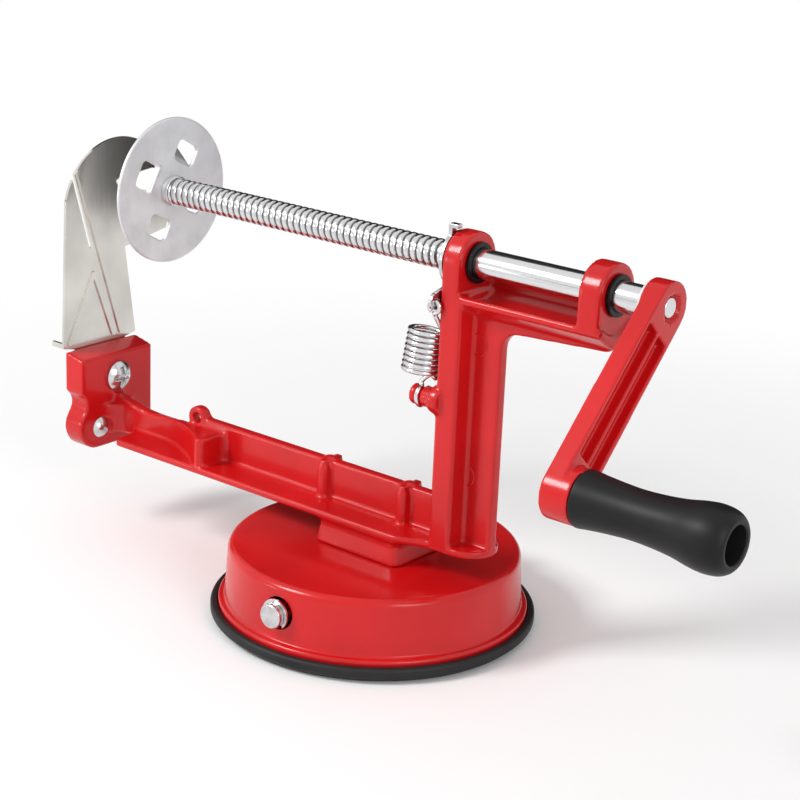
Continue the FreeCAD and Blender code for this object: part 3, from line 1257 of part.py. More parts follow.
make_suction_pad()
make_base_housing()
make_suction_stud()
make_cam_shaft()
make_suction_lever()
make_shaft_clip()
make_lever_screw()
make_frame()
make_frame_screws()
make_bush("front_bush", "upright_left + front_boss_length", "front_boss_length - seat_gap")
make_bush("rear_bush", "rear_boss_left + rear_boss_length", "rear_boss_length - seat_gap")
make_drive_rod()
make_rod_washer()
make_pusher_disc()
make_disc_collar()
make_nut("disc_nut", "rod_spigot_radius + running_clearance",
         "disc_x - disc_thickness / 2", "0", "rod_height")
make_blade_plate()
make_blade_screw()
make_nut("blade_nut", "screw_radius + running_clearance", PLATE_X + " - plate_thickness", "0",
         "blade_screw_z")
make_blade_rivets()
make_feed_lever()
make_feed_lever_pivot()
make_feed_spring()
make_crank_arm()
make_grip()
make_grip_axle()
make_grip_washer()

doc.recompute()
for item in doc.Objects:
    if "Invalid" in item.State or "Error" in item.State:
        raise RuntimeError("%s did not build: %s" % (item.Label, item.State))
for item in SUB_PARTS:
    if item.Shape.isNull() or not item.Shape.isValid():
        raise RuntimeError("%s has no valid shape" % item.Label)

os.makedirs("parts", exist_ok=True)
for item in SUB_PARTS:
    item.Shape.exportStep("parts/%s.step" % item.Label)
    print("%-18s %8.1f mm3" % (item.Label, item.Shape.Volume))
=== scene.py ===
import contextlib
import json
import math

import bmesh
import bpy
from mathutils import Matrix, Vector


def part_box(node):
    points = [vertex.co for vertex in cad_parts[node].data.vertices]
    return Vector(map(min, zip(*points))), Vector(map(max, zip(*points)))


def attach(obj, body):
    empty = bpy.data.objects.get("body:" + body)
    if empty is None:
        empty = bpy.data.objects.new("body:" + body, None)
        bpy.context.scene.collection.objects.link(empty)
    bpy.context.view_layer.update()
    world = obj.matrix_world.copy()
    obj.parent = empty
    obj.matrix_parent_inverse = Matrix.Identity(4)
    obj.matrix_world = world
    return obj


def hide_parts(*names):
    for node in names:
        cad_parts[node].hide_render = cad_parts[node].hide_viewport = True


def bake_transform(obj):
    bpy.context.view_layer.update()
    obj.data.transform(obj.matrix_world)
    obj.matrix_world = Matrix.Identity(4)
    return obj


bl_info = {
    "name": "Tornado potato cutter",
    "version": (1, 0, 0),
    "blender": (4, 5, 0),
    "location": "3D View > Sidebar > Cutter",
    "description": "Hand-cranked spiral potato cutter on a suction base",
    "category": "Object",
}

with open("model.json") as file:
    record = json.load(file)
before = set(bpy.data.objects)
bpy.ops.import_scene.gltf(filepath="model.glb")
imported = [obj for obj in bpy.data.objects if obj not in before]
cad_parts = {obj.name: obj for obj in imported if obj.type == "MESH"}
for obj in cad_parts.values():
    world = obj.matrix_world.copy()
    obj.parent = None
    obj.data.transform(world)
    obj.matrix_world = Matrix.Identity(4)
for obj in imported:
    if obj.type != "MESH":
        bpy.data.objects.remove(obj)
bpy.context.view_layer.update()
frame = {"nodes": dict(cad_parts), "record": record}
NODES = frame["nodes"]

MM = 0.001
X_AXIS = Vector((1, 0, 0))
Y_AXIS = Vector((0, 1, 0))
Z_AXIS = Vector((0, 0, 1))


def box_mm(node):
    """Lowest and highest corner of a CAD node, in millimetres."""
    low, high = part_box(node)
    return Vector(low) / MM, Vector(high) / MM


ROD_LOW, ROD_HIGH = box_mm("drive_rod")
ROD_Z = (ROD_LOW.z + ROD_HIGH.z) / 2
ROD_RADIUS = (ROD_HIGH.z - ROD_LOW.z) / 2
SPIGOT_RADIUS = 3.0
DISC_LOW, DISC_HIGH = box_mm("pusher_disc")
GRIP_LOW, GRIP_HIGH = box_mm("grip")
GRIP_Y = (GRIP_LOW.y + GRIP_HIGH.y) / 2
GRIP_Z = (GRIP_LOW.z + GRIP_HIGH.z) / 2
HOUSING_LOW, HOUSING_HIGH = box_mm("base_housing")
PAD_HIGH = box_mm("suction_pad")[1]
BORE_Z = sum(corner.z for corner in box_mm("lever_screw")) / 2
SHAFT_X = sum(corner.x for corner in box_mm("lever_screw")) / 2
SLOT_OF_NODE = {part["node"]: part.get("material_slot") for part in frame["record"]["subparts"]}

# Housing, rib and web sizes of the castings, in millimetres.
SHAFT_BORE = 5.3
WEB_TOP = 48.0
WEB_HALF = 2.0
FLANGE_TOP = 35.8
RIB_PLACES = (-19.8, 13.1)
RIB_BUMP = (2.6, 2.3, 1.3)
PILASTER_RADIUS = 2.3
PILASTER_Y = 3.0
LIP_ENDS = (34.0, 80.0)
LIP_FOOT = 113.0
LIP_TOP = 117.3
LIP_Y = 7.4
LIP_WIDTH = 2.1
EJECTOR_MARKS = ((37.9, 99.7), (35.8, 57.8))
MARK_RADIUS = 3.3
MARK_THICKNESS = 0.28

# The crank's outer face, the sunk ring round the rod's end and the deep channels. The bands say
# how far below the face the points lie that move.
CRANK_FACE = 101.8
SINK_RADIUS = 3.95
SINK_DEPTH = 1.3
SINK_BAND = 1.0
CHANNEL_BAND = 2.6
CHANNEL_MARGIN = 4.0
CHANNEL_REACH = 6.6
CHANNEL_GAIN = 1.8

# The pusher disc: angle and distance from the middle of each window, lean and length of its
# prong. The prong at ROLLED_FOLD has a rounded fold at its root.
DISC_THICKNESS = 1.2
WINDOW_SIZE = (9.2, 7.2)
WINDOW_CORNER = 1.7
WINDOWS = ((62.0, 13.3, 48.0, 0.62), (152.0, 13.3, 0.0, 1.0), (242.0, 13.3, -12.0, 1.0),
           (338.0, 12.2, 0.0, 1.0))
ROLLED_FOLD = 152.0
FOLD_SECTION = ((0, -5, 0), (1.1, -5, 1.0), (1.1, 5, 1.0), (0, 5, 0))
PRONG_OUTLINE = ((-0.2, 4.2), (-0.2, -4.2), (2.4, -4.2), (15.3, 1.8), (16.3, 3.0), (15.3, 4.2))
# Painted shade: the prongs' colour, darker and warmer than the disc's, stands in for the shade on
# them.
PRONG_PAINTED_SHADE = (0.5, 0.485, 0.45, 1.0)

# Rim height, dome height and recess depth of each fastener's head.
BLADE_HEAD = (1.1, 2.3, 1.5)
LEVER_HEAD = (0.77, 1.53, 1.0)
RIVET_HEAD = (0.15, 1.85, 0.0)
SHANK_RADIUS = 2.0
RIVET_SHANK = 3.0
CORE_RADIUS = 4.0

# The feed lever's thumb tab beyond TAB_SIDE is cut away; its corners run along X and Z.
TAB_CORNERS = ((25, 132.4), (32, 132.4), (32, 137), (25, 137))
TAB_SIDE = -2.4

# Middles of the spring's two loops and ends of its coil.
PEG = Vector((22.25, -7.5, 81.5))
EAR = Vector((27.35, -10.4, 110.75))
COIL_LOW = Vector((20.2, -6.3, 87.9))
COIL_HIGH = Vector((21.5, -5.0, 101.6))
PEG_LOOP = 3.11
EAR_LOOP = 1.85

# Lamps in metres: name, side, place and target. Flags: name, place, target, width, height.
LAMPS = (
    ("key", 0.36, (-0.55, -0.75, 0.85), (0, 0, 0.07)),
    ("fill", 0.45, (0.9, -0.35, 0.45), (0, 0, 0.08)),
    ("low", 0.14, (-0.65, -0.75, 0.13), (0, 0, 0.04)),
)
FLAGS = (
    ("flag_behind", (-0.5, 0.8, 0.72), (0, 0, 0.72), 1.9, 1.44),
    ("flag_low", (0.0748, 0.2365, 0.118), (-0.154, 0.027, 0.118), 0.092, 0.163),
    ("flag_front", (-0.5, -0.6, 0.145), (0, 0, 0.145), 0.9, 0.03),
)

# The camera: place in millimetres, turn in radians and lens in pixels of the square picture.
CAMERA_PLACE = (369.4213, -456.9384, 268.1222)
CAMERA_YAW = 0.6696718
CAMERA_PITCH = 0.3205564
CAMERA_ROLL = 0.0439794
FOCAL_PIXELS = 1973.85
PICTURE_PIXELS = 800
SENSOR_MM = 36.0


# ---------------------------------------------------------------- node helpers

class Wire:
    """A node's socket that takes part in sums; each operator adds its Math node."""

    def __init__(self, graph, socket):
        self.graph = graph
        self.socket = socket

    def math(self, operation, *values):
        return self.graph.node("Math", dict(enumerate((self,) + values)), operation=operation)

    def __add__(self, other):
        return self.math("ADD", other)

    def __sub__(self, other):
        return self.math("SUBTRACT", other)

    def __rsub__(self, other):
        return self.graph.node("Math", {0: other, 1: self}, operation="SUBTRACT")

    def __mul__(self, other):
        return self.math("MULTIPLY", other)

    def __truediv__(self, other):
        return self.math("DIVIDE", other)

    def __pow__(self, other):
        return self.math("POWER", other)

    __radd__ = __add__
    __rmul__ = __mul__

    def ramp(self, low, high, interpolation="LINEAR"):
        """0 at low, 1 at high and even between them."""
        return self.graph.node("MapRange", {"Value": self, "From Min": low, "From Max": high},
                               interpolation_type=interpolation)

    def step(self, low, high):
        """0 below low, 1 above high and smooth between them."""
        return self.ramp(low, high, "SMOOTHSTEP")


class Graph:
    """A node tree whose nodes are made with their settings, values and links."""

    def __init__(self, tree):
        self.tree = tree

    def node(self, kind, inputs=None, output=0, **settings):
        """Adds a node, a shader's where no other kind is said, and gives one output or itself."""
        made = self.tree.nodes.new(kind if "Node" in kind else "ShaderNode" + kind)
        for key, value in settings.items():
            setattr(made, key, value)
        for key, value in (inputs or {}).items():
            if isinstance(value, Wire):
                self.tree.links.new(value.socket, made.inputs[key])
            else:
                made.inputs[key].default_value = value
        return made if output is None else Wire(self, made.outputs[output])

    def outputs(self, kind, inputs, *keys):
        """Adds a node and gives several of its outputs."""
        made = self.node(kind, inputs, output=None)
        return [Wire(self, made.outputs[key]) for key in keys]


class Shade(Graph):
    """The nodes of one material, or of the world."""

    def __init__(self, name, kind="materials"):
        self.block = getattr(bpy.data, kind).new(name)
        self.block.use_nodes = True
        super().__init__(self.block.node_tree)
        self.tree.nodes.clear()

    def place(self, scale=(1, 1, 1), turn=(0, 0, 0), centre=(0, 0, 0)):
        """Object coordinates in millimetres about a centre, turned and scaled."""
        coordinates = self.node("TexCoord", output="Object")
        moved = self.node("VectorMath", {0: coordinates, 1: [-c * MM for c in centre]},
                          operation="ADD")
        return self.node("Mapping", {"Vector": moved, "Rotation": turn,
                                     "Scale": [s / MM for s in scale]})

    def noise(self, place, scale, detail=2.0, roughness=0.5):
        return self.node("TexNoise", {"Vector": place, "Scale": scale, "Detail": detail,
                                      "Roughness": roughness}, output="Fac")

    def mix(self, factor, first, second):
        """A colour between two colours."""
        return self.node("Mix", {0: factor, 6: first, 7: second}, output=2, data_type="RGBA")

    def clouded(self, cloud, low, high, colour, share):
        """A colour that turns lighter or darker by a share where the cloud is dense."""
        return self.mix(cloud.step(low, high), rgb(colour), rgb(colour, share))

    def bump(self, height, strength, distance):
        return self.node("Bump", {"Height": height, "Strength": strength,
                                  "Distance": distance * MM})

    def surface(self, **inputs):
        """Ends the material in one Principled shader."""
        names = {key.replace("_", " ").title().replace("Ior", "IOR"): value
                 for key, value in inputs.items()}
        shader = self.node("BsdfPrincipled", names, output="BSDF")
        return self.finish(shader)

    def finish(self, shader, end="OutputMaterial"):
        self.node(end, {"Surface": shader}, output=None)
        return self.block


class Tree(Graph):
    """A Geometry Nodes tree with named inputs."""

    def __init__(self, name, inputs):
        super().__init__(bpy.data.node_groups.new(name, "GeometryNodeTree"))
        self.identifiers = {}
        self.defaults = {}
        new_socket = self.tree.interface.new_socket
        new_socket("Geometry", in_out="INPUT", socket_type="NodeSocketGeometry")
        for label, kind, value in inputs:
            item = new_socket(label, in_out="INPUT", socket_type="NodeSocket" + kind)
            self.identifiers[label] = item.identifier
            self.defaults[label] = value
        new_socket("Geometry", in_out="OUTPUT", socket_type="NodeSocketGeometry")
        self.group_input = self.tree.nodes.new("NodeGroupInput")

    def input(self, label):
        return Wire(self, self.group_input.outputs[label])

    def grid(self):
        """A unit grid of Rows by Facets, with the share along it and the share across it."""
        grid = self.node("GeometryNodeMeshGrid", {
            "Size X": 1.0, "Size Y": 1.0, "Vertices X": self.input("Rows"),
            "Vertices Y": self.input("Facets")})
        place = self.node("GeometryNodeInputPosition")
        along, across = self.outputs("SeparateXYZ", {0: place}, 0, 1)
        return grid, along + 0.5, across + 0.5

    def wrap(self, grid, x, y, z, merge):
        """Sets the grid's points in space and closes its seam."""
        place = self.node("CombineXYZ", {0: x, 1: y, 2: z})
        wrapped = self.node("GeometryNodeSetPosition", {"Geometry": grid, "Position": place})
        return self.node("GeometryNodeMergeByDistance", {"Geometry": wrapped, "Distance": merge})

    def circle(self, radius, facets):
        return self.node("GeometryNodeCurvePrimitiveCircle", {
            "Radius": radius, "Resolution": facets})

    def tube(self, path, radius, facets, caps=False):
        """A pipe along a curve."""
        return self.node("GeometryNodeCurveToMesh", {
            "Curve": path, "Profile Curve": self.circle(radius, facets), "Fill Caps": caps})

    def finish(self, geometry, material):
        """Ends the tree in Realize Instances and Set Material."""
        real = self.node("GeometryNodeRealizeInstances", {"Geometry": geometry})
        painted = self.node("GeometryNodeSetMaterial", {"Geometry": real, "Material": material})
        self.node("NodeGroupOutput", {"Geometry": painted}, output=None)

    def build(self, name, start=None):
        """A plain mesh object made by this tree from its named inputs and a start mesh."""
        piece = object_of(start or bpy.data.meshes.new(name), name)
        modifier = piece.modifiers.new(name, "NODES")
        modifier.node_group = self.tree
        for label, identifier in self.identifiers.items():
            modifier[identifier] = self.defaults[label]
        bake_modifiers(piece)
        tidy(piece.data, merge=2e-7)
        return piece


# ---------------------------------------------------------------- materials

def rgb(colour, share=1.0):
    """A colour with its alpha, made lighter or darker by a share."""
    return (*[c * share for c in colour[:3]], 1.0)


def red_paint(finish):
    """Glossy stoved paint with a faint orange peel over the casting."""
    shade = Shade("red_paint")
    place = shade.place()
    cloud = shade.noise(place, 0.035, 3.0)
    peel = shade.noise(place, 0.42, 2.0)
    grain = shade.noise(place, 2.6, 2.0)
    colour = shade.mix(cloud.step(0.3, 0.7), rgb(finish.paint, 0.86), rgb(finish.paint))
    rough = 0.15 + 0.1 * cloud + 0.04 * grain
    bump = shade.bump(peel + 0.1 * grain, 0.16, 0.16)
    return shade.surface(base_color=colour, roughness=rough, normal=bump,
                         coat_weight=0.1, coat_roughness=0.05, specular_ior_level=0.34)


def black_rubber(finish):
    """Matt moulded rubber with a fine skin."""
    shade = Shade("black_rubber")
    place = shade.place()
    cloud = shade.noise(place, 0.06, 3.0)
    skin = shade.noise(place, 3.2, 3.0, 0.7)
    colour = shade.clouded(cloud, 0.35, 0.75, finish.rubber, 1.9)
    bump = shade.bump(skin, 0.3, 0.06)
    return shade.surface(base_color=colour, roughness=0.46 + 0.16 * skin, normal=bump,
                         specular_ior_level=0.3)


def black_plastic(name, colour, gloss, grain_scale):
    """Moulded plastic with a fine matt texture."""
    shade = Shade(name)
    place = shade.place()
    cloud = shade.noise(place, 0.08, 2.0)
    grain = shade.noise(place, grain_scale, 3.0, 0.6)
    tint = shade.clouded(cloud, 0.3, 0.7, colour, 1.5)
    bump = shade.bump(grain, 0.25, 0.05)
    return shade.surface(base_color=tint, roughness=gloss + 0.08 * grain, normal=bump,
                         specular_ior_level=0.22)


def chrome(finish, name="chrome", groove=None):
    """Plated steel: mirror-like, with faint turning marks and painted shade in the thread's
    grooves.
    """
    shade = Shade(name)
    marks = shade.noise(shade.place((7.0, 0.15, 0.15)), 1.0, 3.0)
    haze = shade.noise(shade.place(), 0.12, 3.0)
    colour = shade.clouded(haze, 0.3, 0.8, finish.chrome, 0.93)
    # Painted shade: where groove is given, points nearer the rod's axis than the thread's crests
    # are darkened.
    if groove:
        flat = shade.place((0, 1, 1), centre=(0, 0, ROD_Z))
        reach = shade.node("VectorMath", {0: flat}, output="Value", operation="LENGTH")
        colour = shade.mix(reach.step(*groove), rgb(finish.chrome, 0.16), colour)
    bump = shade.bump(marks, 0.05, 0.02)
    return shade.surface(base_color=colour, metallic=1.0, roughness=0.1 + 0.1 * haze, normal=bump)


def satin_steel(finish):
    """Tumbled pale steel of the pusher disc: soft sheen, fine mottling, and painted shade that
    darkens the prongs.
    """
    shade = Shade("satin_steel")
    place = shade.place()
    cloud = shade.noise(place, 0.09, 4.0, 0.6)
    grain = shade.noise(place, 2.2, 3.0, 0.7)
    sheet = shade.clouded(cloud, 0.3, 0.75, finish.satin, 0.82)
    along = shade.node("SeparateXYZ", {0: place})
    # Painted shade: points in front of the disc's face, on the bent prongs, take the darker prong
    # colour.
    colour = shade.mix(along.step(DISC_HIGH.x - 2.4, DISC_HIGH.x - 1.4), rgb(PRONG_PAINTED_SHADE), sheet)
    bump = shade.bump(grain + 0.6 * cloud, 0.18, 0.05)
    return shade.surface(base_color=colour, metallic=0.6, roughness=0.3 + 0.16 * cloud, normal=bump)


def bright_steel(finish):
    """Rolled stainless sheet of the blade plate: bright, with fine upright lines."""
    shade = Shade("bright_steel")
    lines = shade.noise(shade.place((0.2, 3.4, 0.05)), 1.0, 4.0, 0.6)
    cloud = shade.noise(shade.place(), 0.05, 3.0)
    colour = shade.clouded(cloud, 0.3, 0.75, finish.blade, 0.8)
    bump = shade.bump(lines, 0.08, 0.03)
    rough = 0.09 + 0.06 * cloud + 0.05 * lines
    return shade.surface(base_color=colour, metallic=1.0, roughness=rough, normal=bump)


def plated_fixings(finish):
    """Zinc-plated screws, pins and small plates."""
    shade = Shade("plated_fixings")
    place = shade.place()
    cloud = shade.noise(place, 0.35, 3.0)
    grain = shade.noise(place, 4.0, 2.0)
    colour = shade.clouded(cloud, 0.3, 0.75, finish.plating, 0.78)
    bump = shade.bump(grain, 0.12, 0.03)
    rough = 0.14 + 0.12 * cloud
    return shade.surface(base_color=colour, metallic=1.0, roughness=rough, normal=bump)


def white_nylon():
    """Pale moulded washer."""
    shade = Shade("white_nylon")
    place = shade.place()
    cloud = shade.noise(place, 0.4, 2.0)
    colour = shade.mix(cloud, rgb((0.72, 0.71, 0.68)), rgb((0.8, 0.79, 0.76)))
    return shade.surface(base_color=colour, roughness=0.38 + 0.1 * cloud)


def floor_paper(settings):
    """Pale floor that runs out into the white backdrop."""
    shade = Shade("floor_paper")
    place = shade.place()
    length = shade.node("VectorMath", {0: place}, output="Value", operation="LENGTH")
    faint = shade.noise(place, 0.02, 2.0)
    white = rgb(settings.floor_colour)
    paper = shade.node("BsdfPrincipled", {
        "Base Color": shade.mix(faint, white, rgb(settings.floor_colour, 0.985)),
        "Roughness": 0.9}, output="BSDF")
    glow = shade.node("Emission", {"Color": (1.0, 1.0, 1.0, 1.0), "Strength": 1.0})
    both = shade.node("MixShader", {0: length.step(150.0, 430.0), 1: paper, 2: glow})
    return shade.finish(both)


MATERIALS = {}


def make_materials(finish):
    """One material for each slot of the record."""
    MATERIALS.update({
        "red_paint": red_paint(finish),
        "black_rubber": black_rubber(finish),
        "chrome": chrome(finish),
        # The thread's material has painted shade in its grooves.
        "thread_chrome": chrome(finish, "thread_chrome", (ROD_RADIUS - 0.7, ROD_RADIUS - 0.22)),
        "satin_steel": satin_steel(finish),
        "bright_steel": bright_steel(finish),
        "plated_fixings": plated_fixings(finish),
        "black_bush": black_plastic("black_bush", (0.005, 0.005, 0.006), 0.2, 2.4),
        "black_grip": black_plastic("black_grip", finish.grip, 0.4, 1.9),
        "white_nylon": white_nylon(),
    })


def finish_cad_nodes():
    """Gives each CAD node the material of its own slot."""
    for name, node in NODES.items():
        node.data.materials.clear()
        node.data.materials.append(MATERIALS[SLOT_OF_NODE[name]])


# ---------------------------------------------------------------- mesh helpers

def mesh_of(work, name):
    """The mesh of a finished bmesh."""
    mesh = bpy.data.meshes.new(name)
    work.to_mesh(mesh)
    work.free()
    return mesh


def joined(meshes, name):
    """Several meshes in one."""
    work = bmesh.new()
    for mesh in meshes:
        work.from_mesh(mesh)
    return mesh_of(work, name)


def object_of(mesh, name):
    piece = bpy.data.objects.new(name, mesh)
    bpy.context.scene.collection.objects.link(piece)
    return piece


@contextlib.contextmanager
def editing(mesh):
    """A bmesh of the mesh, written back to it at the end."""
    work = bmesh.new()
    work.from_mesh(mesh)
    yield work
    work.to_mesh(mesh)
    work.free()


def tidy(mesh, merge=1e-6):
    """Merges doubles and points the faces outwards."""
    with editing(mesh) as work:
        bmesh.ops.remove_doubles(work, verts=work.verts, dist=merge)
        bmesh.ops.dissolve_degenerate(work, edges=work.edges, dist=merge)
        bmesh.ops.recalc_face_normals(work, faces=work.faces)
    return mesh


def shade_by_angle(mesh, degrees):
    """Smooth shading with sharp edges beyond an angle."""
    mesh.shade_smooth()
    mesh.set_sharp_from_angle(angle=math.radians(degrees))


def bake_modifiers(piece):
    """Turns an object with modifiers into a plain mesh of the same name."""
    graph = bpy.context.evaluated_depsgraph_get()
    mesh = bpy.data.meshes.new_from_object(piece.evaluated_get(graph))
    piece.modifiers.clear()
    piece.data = mesh
    return piece


def turned(corners, steps=6):
    """A half section through corners (radius, height, rounding), rounded by arcs."""
    points = []
    last = len(corners) - 1
    for index, (radius, height, rounding) in enumerate(corners):
        here = Vector((radius, height))
        if rounding <= 0 or index in (0, last):
            points.append(here)
            continue
        before = (Vector(corners[index - 1][:2]) - here)
        after = (Vector(corners[index + 1][:2]) - here)
        inner = before.angle(after) / 2
        reach = rounding / math.tan(inner)
        reach = min(reach, before.length * 0.49, after.length * 0.49)
        radius_used = reach * math.tan(inner)
        first = here + before.normalized() * reach
        second = here + after.normalized() * reach
        middle = here + (before.normalized() + after.normalized()).normalized() * (
            radius_used / math.sin(inner))
        start = first - middle
        end = second - middle
        sweep = start.angle_signed(end)
        for step in range(steps + 1):
            angle = -sweep * step / steps
            turned_start = Vector((start.x * math.cos(angle) - start.y * math.sin(angle),
                                   start.x * math.sin(angle) + start.y * math.cos(angle)))
            points.append(middle + turned_start)
    return points


def lathe(name, points, origin, axis, segments=96):
    """A closed solid of revolution; points run from axis to axis."""
    work = bmesh.new()
    turn = Z_AXIS.rotation_difference(axis).to_matrix()
    rings = []
    for radius, height in points:
        ring = []
        for step in range(segments):
            angle = 2 * math.pi * step / segments
            local = Vector((radius * math.cos(angle), radius * math.sin(angle), height))
            ring.append(work.verts.new((turn @ local + Vector(origin)) * MM))
            if radius < 1e-6:
                break
        rings.append(ring)
    for low, high in zip(rings, rings[1:]):
        for step in range(segments):
            following = (step + 1) % segments
            if len(low) == 1 and len(high) == 1:
                continue
            if len(low) == 1:
                work.faces.new((low[0], high[step], high[following]))
            elif len(high) == 1:
                work.faces.new((low[step], low[following], high[0]))
            else:
                work.faces.new((low[step], low[following], high[following], high[step]))
    return tidy(mesh_of(work, name), merge=1e-7)


def ring(name, points, origin, axis, segments=96):
    """A solid of revolution with a bore: points go round a closed section."""
    closed = list(points) + [points[0]]
    return lathe(name, closed, origin, axis, segments)


def cad_copy(node, name):
    """A merged copy of a CAD node's mesh with its flat faces whole."""
    mesh = NODES[node].data.copy()
    mesh.name = name
    with editing(mesh) as work:
        bmesh.ops.remove_doubles(work, verts=work.verts, dist=1e-6)
    for layer in ("custom_normal", "sharp_face", "sharp_edge"):
        if layer in mesh.attributes:
            mesh.attributes.remove(mesh.attributes[layer])
    return mesh


def bevelled(node, name, width, segments=2, angle=32):
    """A copy of a CAD node with its edges broken."""
    mesh = cad_copy(node, name)
    with editing(mesh) as work:
        bmesh.ops.dissolve_limit(work, angle_limit=math.radians(0.6), verts=work.verts,
                                 edges=work.edges)
    piece = object_of(mesh, name)
    bevel = piece.modifiers.new("edge", "BEVEL")
    bevel.width = width * MM
    bevel.segments = segments
    bevel.limit_method = "ANGLE"
    bevel.angle_limit = math.radians(angle)
    bevel.harden_normals = True
    bevel.miter_outer = "MITER_ARC"
    mesh.shade_smooth()
    return bake_modifiers(piece)


def cast(node, name, voxel, smoothing, extra=(), keep=0.55):
    """A casting: the CAD solid and extra shapes melted together with soft edges."""
    mesh = joined([cad_copy(node, name + "_solid"), *extra], name)
    return melt(object_of(mesh, name), voxel, smoothing, keep)


def melt(piece, voxel, smoothing, keep):
    """Joins a piece's shells into one skin with soft edges."""
    remesh = piece.modifiers.new("melt", "REMESH")
    remesh.mode = "VOXEL"
    remesh.voxel_size = voxel * MM
    remesh.adaptivity = 0.0
    soften = piece.modifiers.new("soften", "SMOOTH")
    soften.factor = 0.5
    soften.iterations = smoothing
    thin = piece.modifiers.new("thin", "DECIMATE")
    thin.ratio = keep
    bake_modifiers(piece)
    piece.data.shade_smooth()
    return piece


def without(piece, cutter):
    """The piece with the cutter's mesh taken out of it."""
    tool = object_of(cutter, cutter.name)
    boolean = piece.modifiers.new("bore", "BOOLEAN")
    boolean.operation = "DIFFERENCE"
    boolean.object = tool
    boolean.solver = "EXACT"
    bake_modifiers(piece)
    bpy.data.objects.remove(tool)
    return piece


def soften_nodes(body, widths):
    """Stands in for CAD nodes of one body by copies whose edges are broken."""
    for node, width in widths:
        piece = bevelled(node, node + "_edged", width)
        dress(piece, body, SLOT_OF_NODE[node], node)


def dress_turned(mesh, degrees, body, slot, node):
    """Makes a piece of a lathed mesh, named as its mesh, and finishes it."""
    shade_by_angle(mesh, degrees)
    dress(object_of(mesh, mesh.name), body, slot, node)


def dress(piece, body, slot, *nodes):
    """Finishes a piece: material, the body it rides on and what it stands for."""
    piece.data.materials.clear()
    piece.data.materials.append(MATERIALS[slot])
    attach(piece, body)
    if nodes:
        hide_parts(*nodes)
    return piece


# ---------------------------------------------------------------- settings

class FinishSettings(bpy.types.PropertyGroup):
    """Colours of the finishes."""

    paint: bpy.props.FloatVectorProperty(
        name="Paint", description="Red stoved paint of the castings",
        subtype="COLOR", default=(0.62, 0.007, 0.009), min=0, max=1)
    rubber: bpy.props.FloatVectorProperty(
        name="Rubber", description="Suction pad", subtype="COLOR",
        default=(0.009, 0.009, 0.0095), min=0, max=1)
    grip: bpy.props.FloatVectorProperty(
        name="Grip", description="Plastic of the crank's grip", subtype="COLOR",
        default=(0.006, 0.006, 0.0068), min=0, max=1)
    chrome: bpy.props.FloatVectorProperty(
        name="Chrome", description="Plating of rod and spring", subtype="COLOR",
        default=(0.7, 0.7, 0.71), min=0, max=1)
    satin: bpy.props.FloatVectorProperty(
        name="Satin steel", description="Pusher disc", subtype="COLOR",
        default=(0.78, 0.78, 0.8), min=0, max=1)
    blade: bpy.props.FloatVectorProperty(
        name="Blade steel", description="Blade plate", subtype="COLOR",
        default=(0.78, 0.755, 0.71), min=0, max=1)
    plating: bpy.props.FloatVectorProperty(
        name="Plating", description="Screws, pins and the feed lever", subtype="COLOR",
        default=(0.66, 0.66, 0.67), min=0, max=1)


class ThreadSettings(bpy.types.PropertyGroup):
    """Sizes of the rod's thread."""

    pitch: bpy.props.FloatProperty(
        name="Pitch", description="Rise of one turn", default=2.6 * MM,
        min=0.5 * MM, unit="LENGTH")
    depth: bpy.props.FloatProperty(
        name="Depth", description="Depth of the grooves", default=0.75 * MM,
        min=0.1 * MM, unit="LENGTH")
    end: bpy.props.FloatProperty(
        name="End", description="Where the thread runs out, along X", default=31.0 * MM,
        unit="LENGTH")
    facets: bpy.props.IntProperty(
        name="Facets", description="Points round the rod", default=56, min=12)


class SpringSettings(bpy.types.PropertyGroup):
    """Sizes of the feed lever's spring."""

    turns: bpy.props.FloatProperty(
        name="Turns", description="Turns of the coil", default=8.0, min=1)
    radius: bpy.props.FloatProperty(
        name="Coil radius", description="Middle of the wire", default=5.7 * MM,
        min=1 * MM, unit="LENGTH")
    wire: bpy.props.FloatProperty(
        name="Wire radius", description="Radius of the wire", default=0.75 * MM,
        min=0.1 * MM, unit="LENGTH")


class StageSettings(bpy.types.PropertyGroup):
    """Floor and light."""

    floor_colour: bpy.props.FloatVectorProperty(
        name="Floor", description="Colour of the floor", subtype="COLOR",
        default=(0.98, 0.98, 0.98), min=0, max=1)
    sky: bpy.props.FloatProperty(
        name="Sky", description="Strength of the soft light from all round", default=0.55, min=0)
    key: bpy.props.FloatProperty(
        name="Key", description="Power of the large lamp, in watts", default=9.0, min=0)
    fill: bpy.props.FloatProperty(
        name="Fill", description="Power of the side lamp, in watts", default=2.5, min=0)
    low: bpy.props.FloatProperty(
        name="Low", description="Power of the small low lamp, in watts", default=0.6, min=0)


class CutterSettings(bpy.types.PropertyGroup):
    """Everything that a user would change."""

    finish: bpy.props.PointerProperty(type=FinishSettings)
    thread: bpy.props.PointerProperty(type=ThreadSettings)
    spring: bpy.props.PointerProperty(type=SpringSettings)
    stage: bpy.props.PointerProperty(type=StageSettings)


# ---------------------------------------------------------------- operators

class CUTTER_OT_finishes(bpy.types.Operator):
    """Make the materials and give each CAD part its own"""
    bl_idname = "cutter.finishes"
    bl_label = "Finishes"

    def execute(self, context):
        make_materials(context.scene.cutter.finish)
        finish_cad_nodes()
        return {"FINISHED"}


